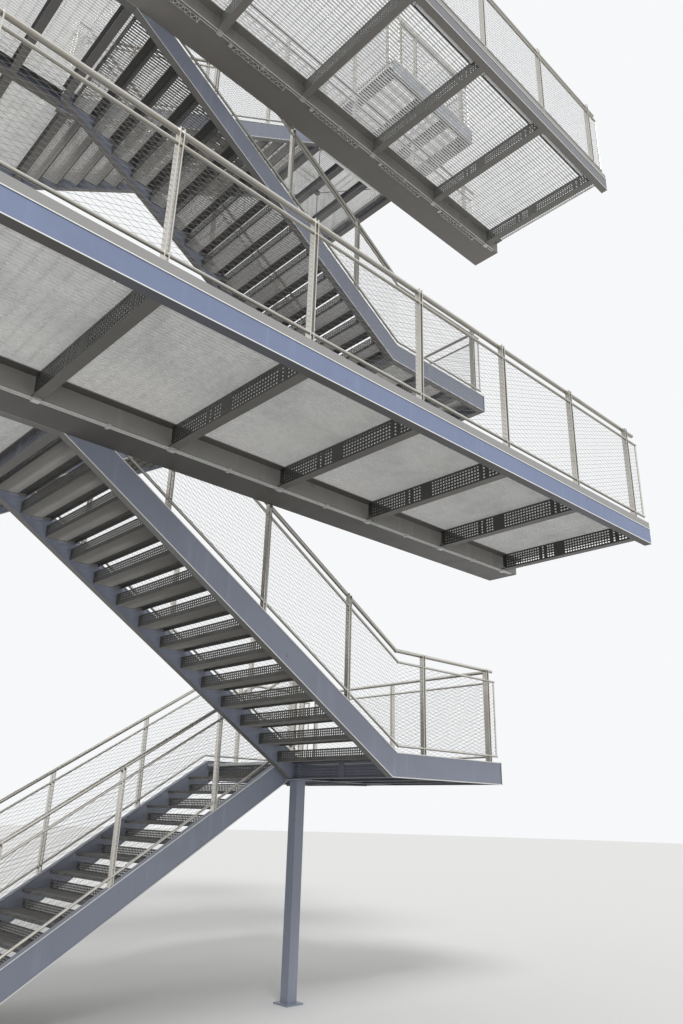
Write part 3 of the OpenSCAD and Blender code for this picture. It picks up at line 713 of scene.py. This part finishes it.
class TOWER_OT_finishes(bpy.types.Operator):
    """Make the tower's finishes and lay them on the CAD steelwork"""

    bl_idname = "tower.finishes"
    bl_label = "Finishes"

    def execute(self, context):
        tones = context.scene.tower_finishes
        soffit, wear = tones.soffit, tones.wear
        frames, tube = [c * 0.45 for c in tones.paint], [c * 1.35 for c in tones.zinc]
        # The planes y of the flange edges that get painted highlights
        flanges, edge = (OUTER_Y - LIP, NEAR_Y - LIP), (GALLERY_OUT_Y - LIP,)
        FINISHED.update(
            stringers=painted("stringer_paint", tones, tones.paint, soffit, highlight_edges=flanges),
            frames=painted("landing_paint", tones, frames, soffit),
            treads=galvanised("tread_steel", tones.pan, wear, 0.25, tones.bars),
            zinc=galvanised("galvanised_steel", tones.zinc, wear),
            wire=galvanised("wire_steel", tones.wire, wear),
            tube=galvanised("tube_steel", tube, wear * 0.5, 0.1),
            stainless=stainless("stainless_steel", tones.stainless),
        )
        # Painted shade and light: deeper undersides on the lower gallery, paler ones on the upper,
        # and the upper gallery's cross beams a lit copy of the lower ones' shade
        deep_soffit_shade, paler_soffit_shade = [c * 0.55 for c in soffit], [c * 1.6 for c in soffit]
        lit_upper_cross = [c * 5 for c in tones.shade]
        # Each gallery's upright faces, its long beams' undersides, its cross beams and theirs, as
        # lit and
        # shaded copies: the lower gallery's in painted sky tint and painted shade, the upper's in
        # painted light
        galleries = (tones.street, deep_soffit_shade, tones.shade, soffit), (UPPER_LIT_GREY, paler_soffit_shade, lit_upper_cross, paler_soffit_shade)
        for n, (side, under, cross, below) in zip(FLOORS, galleries):
            spot = (-FIRST_BEAM, DUSTY_Y, n * STOREY + BEAM_BOTTOM)
            outer, inner, across = (f"{place}_paint_{n}" for place in ("outer", "inner", "cross"))
            FINISHED.update(
                {
                    f"outer_{n}": painted(outer, tones, side, under, 0.05, edge, tones.plate),
                    f"inner_{n}": painted(inner, tones, tones.web, under, INNER_RUST),
                    f"cross_{n}": painted(across, tones, cross, below, INNER_RUST, dust=spot),
                }
            )
        for name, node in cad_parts.items():
            kinds = (kind for word, kind in NODE_FINISHES.items() if word in name)
            finish = next(kinds, "stringers")
            for holder in node.material_slots:
                holder.material = FINISHED[finish]
        return {"FINISHED"}


def half_level(n):
    """The height of half landing n."""
    return (2 * n - 1) * HALF


class TOWER_OT_gratings(bpy.types.Operator):
    """Lay bar gratings in place of the plain deck slabs"""

    bl_idname = "tower.gratings"
    bl_label = "Gratings"

    def execute(self, context):
        bars = named(context.scene.tower_grating)
        recipe = grating_recipe()
        inner_y = NEAR_Y + WEB + GAP

        def lay(place, z, *panels):
            """A deck's grating from the corners x0, x1, y0 and y1 of its panels."""
            deck = Assembly()
            for x0, x1, y0, y1 in panels:
                size = {"length": x1 - x0, "width": y1 - y0, "depth": GRATING}
                deck.put(recipe.make("zinc", **size, **bars), at(x0, y0, z))
            deck.finish(f"{place}_grating", "galvanised_steel", "zinc", [f"{place}_deck"])

        panels = []
        for i, beam in enumerate(BEAMS[:-1]):
            left = GALLERY_LEFT_X if i == 0 else beam + GAP / 2
            right = GALLERY_RIGHT_X if i == BAYS - 1 else beam + BAY - GAP / 2
            panels.append((left, right, GALLERY_OUT_Y + WEB + GAP, GALLERY_IN_Y - GAP))
        for n in FLOORS:
            lay(f"gallery_{n}", n * STOREY, *panels)
        end = HALF_END_X - WEB - GAP
        for n in HALF_LANDINGS:
            outer = OUTER_HEAD_BEAM_X - CROSS_FLANGE / 2 if n == 3 else INNER_HEAD_X
            split = (NEAR_Y - LIP if n == 3 else MIDDLE_Y) - GAP
            lay(
                f"half_landing_{n}",
                half_level(n),
                (outer, end, OUTER_Y + WEB + GAP, split),
                (HALF_STUB_X + GAP, end, split + LAP, inner_y - LAP),
                (INNER_HEAD_X - TREAD_LAP, end, inner_y, FAR_Y - GAP),
            )
        end = FLOOR_END_X + WEB + GAP
        for n in FLOORS:
            lay(
                f"floor_landing_{n}",
                n * STOREY,
                (end, OUTER_HEAD_X + TREAD_LAP, EDGE_INSIDE + GAP, MIDDLE_Y - GAP),
                (end, FLOOR_STUB_X - GAP, MIDDLE_Y - GAP + LAP, inner_y - LAP),
                (end, INNER_FOOT_X - GOING, inner_y, FAR_Y - GAP),
            )
        return {"FINISHED"}


def bridge_part(width, corner):
    """The steel between two holes of a row, flared so that the holes' corners are round."""
    w, h, c = width / 2, (HOLE_H + LAP) / 2, corner
    t = (BEAM_WEB - 2 * HAIR) / 2
    outline = [(-w - c, -h), (w + c, -h), (w, -h + c), (w, h - c)]
    outline += [(w + c, h), (-w - c, h), (-w, h - c), (-w, -h + c)]
    bm = bmesh.new()
    sides = [[bm.verts.new((x, y, z)) for y, z in outline] for x in (-t, t)]
    bm.faces.new(reversed(sides[0]))
    bm.faces.new(sides[1])
    for a in range(len(outline)):
        b = (a + 1) % len(outline)
        bm.faces.new((sides[0][a], sides[0][b], sides[1][b], sides[1][a]))
    return part_mesh(bm)


def pierced_web(beam, side, sizes):
    """A cross beam's web with its face at a side, full of holes in their groups."""
    step = (LAST_HOLE_Y - FIRST_HOLE_Y) / HOLE_STEPS
    half = (step - sizes.bridge) / 2
    rows = rows_recipe()
    bridge = bridge_part(sizes.bridge, sizes.corner)
    grid = {"column_step": step, "rows": HOLE_ROWS, "row_step": ROW_STEP}
    near, far = side + HAIR, side + BEAM_WEB - HAIR
    solid = GALLERY_OUT_Y + BEAM_WEB
    first = 0
    for before, count, gap in zip((1, *HOLE_GROUPS), HOLE_GROUPS, GROUP_STEPS):
        first += before - 1 + gap
        y = FIRST_HOLE_Y + first * step
        beam.box((near, solid, WEB_FOOT), (far, y - half, WEB_HEAD))
        solid = y + (count - 1) * step + half
        if count > 1:
            bridges = rows.make("cross_1", bridge, columns=count - 1, **grid)
            beam.put(bridges, at(side + BEAM_WEB / 2, y + step / 2, FIRST_ROW))
    last = len(END_CURVE) - 1
    for j, back in enumerate(END_CURVE):
        low = WEB_FOOT + j * END_TURN / last
        high = low + END_TURN / last if j < last else WEB_HEAD
        end = INNER_EDGE_Y - END_SHORT - END_TURN * back
        beam.box((near, solid, low), (far, end, high))
    low = WEB_FOOT
    for row in range(HOLE_ROWS + 1):
        high = ROW_FOOT + row * ROW_STEP if row < HOLE_ROWS else WEB_HEAD
        end = INNER_EDGE_Y - ROWS_END
        beam.box((side, STREET_Y, low), (side + BEAM_WEB, end, high))
        low = high + HOLE_H


class TOWER_OT_gallery_beams(bpy.types.Operator):
    """Carry the galleries on channels, the cross ones with groups of holes in their webs"""

    bl_idname = "tower.gallery_beams"
    bl_label = "Gallery beams"

    def execute(self, context):
        sizes, side = context.scene.tower_holes, -CROSS_FLANGE / 2
        for n in FLOORS:
            z = n * STOREY
            beam, beams, inner = Assembly(), Assembly(), Assembly()
            beam.box((side, STREET_Y, BEAM_BOTTOM), (-side, INNER_EDGE_Y, WEB_FOOT))
            beam.box((side, STREET_Y, WEB_HEAD), (side + TOP_FLANGE, INNER_EDGE_Y, BEAM_TOP))
            pierced_web(beam, side, sizes)
            beams.put(part_mesh(beam.bm), *[at(x, 0, z) for x in BEAMS])
            node = f"gallery_{n}_cross_beams"
            beams.finish(f"gallery_{n}_channels", "painted_steel", f"cross_{n}", [node])
            left, right, edge = GALLERY_LEFT_X, GALLERY_RIGHT_X, INNER_EDGE_Y
            foot, head, top = z + BEAM_BOTTOM + BEAM_FT, z + BEAM_TOP - BEAM_FT, z + BEAM_TOP - LAP
            middle = edge + INNER_FLANGE / 2
            inner.box((left, edge, z + BEAM_BOTTOM), (right, GALLERY_IN_Y, foot))
            inner.box((left, edge, foot), (right, edge + BEAM_WEB, head))
            inner.box((left, edge - INNER_TOP_OUT, head - LAP), (right, middle, top))
            for x in BEAMS:
                for y in (edge + BEAM_WEB, middle):
                    low = (x - STIFFENER_T / 2, y, foot)
                    inner.box(low, (x + STIFFENER_T / 2, y + STIFFENER_W, head))
            node = f"gallery_{n}_inner_beam"
            inner.finish(f"gallery_{n}_inner_channel", "painted_steel", f"inner_{n}", [node])
        return {"FINISHED"}


class TOWER_OT_perforations(bpy.types.Operator):
    """Bridge the slots in the landing beams' webs, so that each row becomes a line of holes"""

    bl_idname = "tower.perforations"
    bl_label = "Landing beams' holes"

    def execute(self, context):
        sizes, recipe = context.scene.tower_holes, rows_recipe()

        def pierce(place, z, stub, end, *beams):
            """Bridges in a landing's two wide beams and in others, by x and their ends in y."""
            webs = Assembly()
            wide = [(stub + i * (end - stub) / 3, outer, FAR_Y, 4) for i in (1, 2)]
            for x, low, high, fields in (*wide, *[(*beam, 2) for beam in beams]):
                field = (high - low - 2 * END_STRIP - (fields - 1) * STRIP) / fields
                holes = round(field / sizes.pitch)
                step = field / holes
                part = bridge_part(step - sizes.pitch + sizes.bridge, sizes.corner)
                counts = {"columns": holes - 1, "rows": HOLE_ROWS, "groups": fields}
                steps = {"column_step": step, "row_step": ROW_STEP, "group_step": field + STRIP}
                bridges = recipe.make("frames", part, **counts, **steps)
                webs.put(bridges, at(x, low + END_STRIP + step, z + FIRST_ROW))
            webs.finish(f"{place}_web_holes", "painted_steel", "frames")

        outer, near = OUTER_Y + WEB, NEAR_Y + WEB
        for n in HALF_LANDINGS:
            pierce(
                f"half_landing_{n}",
                half_level(n),
                HALF_STUB_X,
                HALF_END_X,
                (INNER_HEAD_BEAM_X, near, FAR_Y),
                (OUTER_HEAD_BEAM_X, outer, NEAR_Y if n == 3 else MIDDLE_Y),
            )
        for n in FLOORS:
            pierce(
                f"floor_landing_{n}",
                n * STOREY,
                FLOOR_STUB_X,
                FLOOR_END_X,
                (FLOOR_BEAM_X, outer, MIDDLE_Y),
                (FLOOR_INNER_BEAM_X, near, FAR_Y),
            )
        return {"FINISHED"}


def along(n, x):
    """Distance up flight n of a place along X."""
    return x - INNER_FOOT_X if n % 2 else OUTER_FOOT_X - x


def flight_place(n):
    """Stands a piece drawn up the flight in its place."""
    z = (n - 1) * HALF
    if n % 2:
        return at(INNER_FOOT_X, 0, z)
    return at(OUTER_FOOT_X, 0, z) @ Matrix.Diagonal((-1, 1, 1, 1))


def kick_plate(step, low, high, sizes, rows):
    """The upright plate at the back of a step, with rows of small holes."""
    half, pitch = sizes.hole_width / 2, sizes.hole_pitch
    band, hole_h = sizes.row_pitch, sizes.hole_width * KICK_HOLE_SHAPE
    base = KICK_H - KICK_EDGE - KICK_ROWS * band
    lone = low + KICK_MARGIN
    first = lone + LONE_STEPS * pitch
    holes = int((high - KICK_MARGIN - first) / pitch)
    last = first + holes * pitch
    step.box((-TREAD_T, low, -NOSING_H), (0, high, base))
    for row in range(KICK_ROWS):
        top = base + (row + 1) * band
        step.box((-TREAD_T, low, top - band + hole_h), (0, high, top))
    solids = (low, lone - half), (lone + half, first - half), (last + half, high)
    for start, end in solids:
        step.box((HAIR - TREAD_T, start, base - LAP), (-HAIR, end, KICK_H - LAP))
    bridge = Assembly()
    size = (TREAD_T / 2 - HAIR, pitch / 2 - half, (hole_h + LAP) / 2)
    bridge.box([-c for c in size], size)
    grid = {"column_step": pitch, "rows": KICK_ROWS, "row_step": band}
    bridges = rows.make("treads", part_mesh(bridge.bm), columns=holes, **grid)
    step.put(bridges, at(-TREAD_T / 2, first + pitch / 2, base + hole_h / 2))
    step.box((-TREAD_T, low, KICK_H - KICK_EDGE - HAIR / 3), (0, high, KICK_H))


def tread(front, low, high, sizes, bars, grating, rows):
    """One step, from its front to its back edge at 0."""
    step = Assembly()
    if front < -GOING:
        step.box((front, low, -NOSING_H), (front + TREAD_T, high, 0))
    step.box((front + TREAD_T, low, -TREAD_T), (front + sizes.nosing, high, 0))
    for y in (low, high - TREAD_T):
        step.box((front + TREAD_T, y, -NOSING_H), (-TREAD_T, y + TREAD_T, -TREAD_T))
    size = {"length": -TREAD_T - front - sizes.nosing, "width": high - low - 2 * TREAD_T}
    mesh = grating.make("treads", **size, depth=sizes.bar_depth, **bars)
    step.put(mesh, at(front + sizes.nosing, low + TREAD_T, 0))
    kick_plate(step, low, high, sizes, rows)
    return part_mesh(step.bm)


class TOWER_OT_treads(bpy.types.Operator):
    """Make each step a bar grating between its nosing and a perforated kick plate"""

    bl_idname = "tower.treads"
    bl_label = "Treads"

    def execute(self, context):
        sizes = context.scene.tower_treads
        bars = {**named(context.scene.tower_grating), "rod_pitch": sizes.rod_pitch}
        given = (sizes, bars, grating_recipe(), rows_recipe())
        for n in FLIGHTS:
            low = (NEAR_Y if n % 2 else OUTER_Y) + WEB
            high = low + FLIGHT_W - WEB
            up = [flight_place(n) @ at(GOING * k, 0, RISE * k) for k in range(RISERS)]
            steps = Assembly()
            steps.put(tread(-GOING - TREAD_LAP, low, high, *given), *up[1:])
            if n > 1:
                steps.put(tread(-GOING, low, high, *given), up[0])
            node = f"flight_{n}_treads"
            steps.finish(f"flight_{n}_steps", "galvanised_steel", "treads", [node])
        return {"FINISHED"}


def railing_runs(n):
    """(plane y, lowest place, highest place) of the railings of flight n, up the flight."""
    half_out, half_in = along(n, HALF_END_X - END_BACK), along(n, HALF_STUB_X - STUB_BACK)
    floor_out, floor_in = along(n, FLOOR_END_X + END_BACK), along(n, FLOOR_STUB_X + STUB_BACK)
    far = FLANGE - 2 * LIP - MESH_Y
    if n % 2:
        outer, inner = (GROUND_START, GROUND_START) if n == 1 else (floor_out, floor_in)
        return [(NEAR_Y + MESH_Y, inner, half_in), (FAR_Y + far, outer, half_out)]
    return [(OUTER_Y + MESH_Y, half_out, floor_in), (MIDDLE_Y + far, half_in, floor_in)]


class TOWER_OT_nets(bpy.types.Operator):
    """String wire nets between the mesh rails of all railings"""

    bl_idname = "tower.nets"
    bl_label = "Wire nets"

    def execute(self, context):
        sizes = {"height": TOP_RAIL - LOW_RAIL, **named(context.scene.tower_net)}
        recipe = net_recipe()
        across = Matrix.Rotation(math.pi / 2, 4, "Z")

        def string(name, *nets):
            """Nets of one railing: their length along X, lean and place."""
            strung = Assembly()
            for span, lean, place in nets:
                strung.put(recipe.make("wire", length=span, lean=lean, **sizes), place)
            strung.finish(f"{name}_nets", "stainless_steel", "wire")

        knee_low, knee_high = -EDGE_BACK, HALF / SLOPE - EDGE_BACK
        for n in FLIGHTS:
            nets, place = [], flight_place(n)
            for y, low, high in railing_runs(n):
                low, high = low + RAIL / 2, high - RAIL / 2
                foot, head = max(low, knee_low), min(high, knee_high)
                if low < knee_low - NET_LEAST:
                    nets.append((knee_low - low, 0.0, place @ at(low, y, LOW_RAIL)))
                rise = SLOPE * (foot - knee_low)
                nets.append((head - foot, SLOPE, place @ at(foot, y, LOW_RAIL + rise)))
                if high > knee_high + NET_LEAST:
                    corner = place @ at(knee_high, y, LOW_RAIL + HALF)
                    nets.append((high - knee_high, 0.0, corner))
            string(f"flight_{n}", *nets)
        low_y = OUTER_Y + NET_CORNER
        end_span = FAR_Y + FLANGE - 2 * LIP - NET_CORNER - low_y
        for n in HALF_LANDINGS:
            z = half_level(n) + LOW_RAIL
            nets = [(end_span, 0.0, at(HALF_END_X - LIP - MESH_Y, low_y, z) @ across)]
            if n == 3:
                span = NEAR_Y - OUTER_Y - 2 * NET_CORNER
                nets.append((span, 0.0, at(TOP_GUARD_X + MESH_Y, low_y, z) @ across))
                edge = TOP_GUARD_X + NET_CORNER
                nets.append((HALF_END_X - END_BACK - edge, 0.0, at(edge, OUTER_Y + MESH_Y, z)))
            string(f"half_landing_{n}", *nets)
        for n in FLOORS:
            end = at(FLOOR_END_X + LIP + MESH_Y, low_y, n * STOREY + LOW_RAIL) @ across
            string(f"floor_landing_{n}", (end_span, 0.0, end))
        left, right = GALLERY_LEFT_X + NET_END, GALLERY_RIGHT_X - NET_END
        inner = OUTER_HEAD_X + POST_BACK
        for n in FLOORS:
            z = n * STOREY + LOW_RAIL
            string(
                f"gallery_{n}",
                (right - left, 0.0, at(left, GALLERY_OUT_Y + WEB + MESH_Y, z)),
                (right - inner, 0.0, at(inner, GALLERY_IN_Y - GAP - MESH_Y, z)),
            )
        return {"FINISHED"}


class TOWER_OT_conduits(bpy.types.Operator):
    """Clip conduits along the galleries' inner beams"""

    bl_idname = "tower.conduits"
    bl_label = "Conduits"

    def execute(self, context):
        size = context.scene.tower_fixings.conduit
        apart, from_end = 0.028, 0.1
        y = INNER_EDGE_Y + 0.003
        for n in FLOORS:
            run = Assembly()
            z = n * STOREY + BEAM_BOTTOM - size / 2 - LAP
            for line in (y, y + apart):
                left = (GALLERY_LEFT_X + from_end, line, z)
                run.rod(left, (GALLERY_RIGHT_X - from_end, line, z), size, 12)
            for i in range(2 * BAYS + 1):
                x = -FIRST_BEAM + i * BAY / 2
                wide = 0.03 if i % 2 == 0 else 0.012
                run.box((x - wide, y - 0.014, z - 0.012), (x + wide, y + 0.043, z + 0.0105))
            run.finish(f"gallery_{n}_conduit", "galvanised_steel", "zinc")
        return {"FINISHED"}


def edge_tube(tubes, trays, beam, tube):
    """A tube in its tray beside the upper gallery's street edge, in one bay from a beam."""
    y = STREET_Y + LIP + 0.06
    z = 2 * STOREY - GRATING - 0.045
    left, right = beam + CROSS_FLANGE / 2, beam + BAY - CROSS_FLANGE / 2
    tubes.rod((left + 0.1, y, z), (right - 0.03, y, z), tube, 16)
    for x in (left + 0.07, right - 0.05):
        tubes.box((x, y - 0.03, z - 0.01), (x + 0.03, y + 0.03, z + 0.045))
    left += 0.02
    trays.box((left, y - 0.05, z + 0.036), (right, y + 0.05, z + 0.04))
    for side in (y - 0.05, y + 0.046):
        trays.box((left, side, z + 0.012), (right, side + 0.004, z + 0.036))


def laced_tray(trays, beam, lace, laces=20):
    """A narrow tray under the upper gallery's inner beam, laced with thin rod, in one bay."""
    near = INNER_EDGE_Y + 0.02
    far = near + 0.05
    low = 2 * STOREY - GRATING - BEAM_D - 0.03
    left, right = beam + 0.2, beam + 0.88
    for side in (near, far):
        trays.box((left, side, low), (right, side + 0.005, low + 0.022))
    trays.box((right, near - 0.004, low - 0.002), (right + 0.012, near + 0.06, low + 0.03))
    trays.box((left - 0.06, near, low + 0.004), (left - 0.02, far, low + 0.03))
    z, step = low + 0.004, (right - left) / laces
    for j in range(laces):
        x = left + (right - left) * j / laces
        start, end = (near + 0.004, far) if j % 2 else (far, near + 0.004)
        trays.rod((x, start, z), (x + step, end, z), lace, 6)


class TOWER_OT_tubes(bpy.types.Operator):
    """Hang tubes in trays beside the upper gallery's edge, and laced trays on its inner beam"""

    bl_idname = "tower.tubes"
    bl_label = "Tubes and trays"

    def execute(self, context):
        sizes = context.scene.tower_fixings
        tubes, trays, laced = Assembly(), Assembly(), Assembly()
        for beam in BEAMS[:-1]:
            edge_tube(tubes, trays, beam, sizes.tube)
            laced_tray(laced, beam, sizes.lace)
        y = NEAR_Y + 0.045
        z = half_level(3) - GRATING - BEAM_D - sizes.tube / 2
        tubes.rod((INNER_HEAD_X + 0.14, y, z), (HALF_END_X - 0.34, y, z), sizes.tube, 16)
        for x in (INNER_HEAD_X + 0.16, HALF_END_X - 0.4):
            top = z + sizes.tube / 2
            tubes.box((x, NEAR_Y + 0.015, z - 0.012), (x + 0.035, NEAR_Y + 0.075, top))
        tubes.finish("tubes", "galvanised_steel", "tube", smooth=True)
        trays.finish("gallery_2_trays", "painted_steel", "frames")
        laced.finish("gallery_2_laced_trays", "galvanised_steel", "zinc")
        return {"FINISHED"}


class TOWER_OT_bracing(bpy.types.Operator):
    """Brace the half landings with crossed rods under their decks"""

    bl_idname = "tower.bracing"
    bl_label = "Bracing rods"

    def execute(self, context):
        rod = context.scene.tower_fixings.rod
        left, right = HALF_STUB_X, HALF_END_X - 0.42
        near, far = NEAR_Y + 0.03, FAR_Y - 0.01
        hub = 0.09
        for n in HALF_LANDINGS:
            braces = Assembly()
            z = half_level(n) - GRATING - BEAM_D - rod / 2
            braces.rod((left, near, z), (right, far, z), rod, 8)
            braces.rod((right, near, z - rod), (left, far, z - rod), rod, 8)
            x, y, low = (left + right) / 2, (near + far) / 2, z - rod / 2
            braces.rod((x, y, low - 0.02), (x, y, low + 0.012), hub, 20)
            for x in (left, right):
                for y in (near, far):
                    low = (x - 0.04, y - 0.03, z - rod)
                    braces.box(low, (x + 0.04, y + 0.01, z + rod / 2))
            braces.finish(f"half_landing_{n}_braces", "painted_steel", "frames")
        return {"FINISHED"}


class TOWER_OT_stage(bpy.types.Operator):
    """Make the floor, the light, the backdrop and the camera"""

    bl_idname = "tower.stage"
    bl_label = "Stage and camera"

    def execute(self, context):
        scene, light = context.scene, context.scene.tower_light
        bm = bmesh.new()
        bmesh.ops.create_circle(bm, cap_ends=True, segments=96, radius=FLOOR_RADIUS)
        floor = placed("stage_floor", part_mesh(bm))
        look = Finish("stage_floor")
        speck = look.noise(0.6, 3.0)
        tone = look.mix(speck * 0.15, rgba(light.floor), rgba(light.floor, 0.94))
        floor.data.materials.append(look.shine(tone, 0.9))
        floor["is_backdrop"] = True
        self.surround(scene, light)
        key = bpy.data.lights.new("Key", "SUN")
        key.energy, key.angle = light.key, math.radians(KEY_SPREAD)
        turn = Vector(KEY_FROM).to_track_quat("Z", "Y")
        placed("Key", key).matrix_world = turn.to_matrix().to_4x4()
        self.look_up(scene)
        scene.view_settings.view_transform = "Standard"
        return {"FINISHED"}

    def surround(self, scene, light):
        """Soft light from all sides, with the backdrop for what is seen directly."""
        world = bpy.data.worlds.new("Studio")
        world.use_nodes = True
        scene.world = world
        world.node_tree.nodes.clear()
        sky = Plan(world.node_tree)
        rays = ("Camera", "Glossy", "Transmission")
        seen = [sky.node("ShaderNodeLightPath", out=f"Is {ray} Ray") for ray in rays]
        shown = seen[0].most(seen[1]).most(seen[2])
        white = {"Color": (1, 1, 1, 1), "Strength": light.ambient}
        plain = {"Color": rgba(light.backdrop), "Strength": 1.0}
        soft, back = (sky.node("ShaderNodeBackground", side) for side in (white, plain))
        both = sky.node("ShaderNodeMixShader", {0: shown, 1: soft, 2: back})
        sky.node("ShaderNodeOutputWorld", {"Surface": both}, out=None)

    def look_up(self, scene):
        """The camera, at the photograph's place, turn and focal length."""
        eye = bpy.data.cameras.new("Camera")
        eye.sensor_fit = "VERTICAL"
        eye.sensor_width = eye.sensor_height = SENSOR
        eye.lens = FOCAL / PICTURE_H * SENSOR
        eye.clip_end = 300
        scene.camera = placed("Camera", eye)
        turned = at(*EYE)
        for angle, axis in ((-YAW, "Z"), (90 + PITCH, "X"), (-ROLL, "Z")):
            turned @= Matrix.Rotation(math.radians(angle), 4, axis)
        scene.camera.matrix_world = turned


OPERATORS = (
    TOWER_OT_finishes,
    TOWER_OT_gratings,
    TOWER_OT_gallery_beams,
    TOWER_OT_perforations,
    TOWER_OT_treads,
    TOWER_OT_nets,
    TOWER_OT_conduits,
    TOWER_OT_tubes,
    TOWER_OT_bracing,
    TOWER_OT_stage,
)


class TOWER_PT_panel(bpy.types.Panel):
    """The tower's sizes, finishes and making steps"""

    bl_idname = "TOWER_PT_panel"
    bl_label = "Stair Tower"
    bl_space_type = "VIEW_3D"
    bl_region_type = "UI"
    bl_category = "Stair Tower"

    def draw(self, context):
        for key, group in GROUPS.items():
            box = self.layout.box()
            box.label(text=group.__doc__.rstrip("."))
            for name in group.__annotations__:
                box.prop(getattr(context.scene, key), name)
        for step in OPERATORS:
            self.layout.operator(step.bl_idname)


def register():
    for group in GROUPS.values():
        bpy.utils.register_class(group)
    for key, group in GROUPS.items():
        setattr(bpy.types.Scene, key, PointerProperty(type=group))
    for item in (*OPERATORS, TOWER_PT_panel):
        bpy.utils.register_class(item)


def unregister():
    for item in reversed((*OPERATORS, TOWER_PT_panel)):
        bpy.utils.unregister_class(item)
    for key in GROUPS:
        delattr(bpy.types.Scene, key)
    for group in reversed(GROUPS.values()):
        bpy.utils.unregister_class(group)


def main():
    register()
    bpy.ops.tower.finishes()
    bpy.ops.tower.gratings()
    bpy.ops.tower.gallery_beams()
    bpy.ops.tower.perforations()
    bpy.ops.tower.treads()
    bpy.ops.tower.nets()
    bpy.ops.tower.conduits()
    bpy.ops.tower.tubes()
    bpy.ops.tower.bracing()
    bpy.ops.tower.stage()
    boxes = [[[float(c) for c in corner] for corner in box] for box in (CAD_BOX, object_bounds())]
    {"cad": boxes[0], "visual": boxes[1]}


if __name__ == "__main__":
    main()
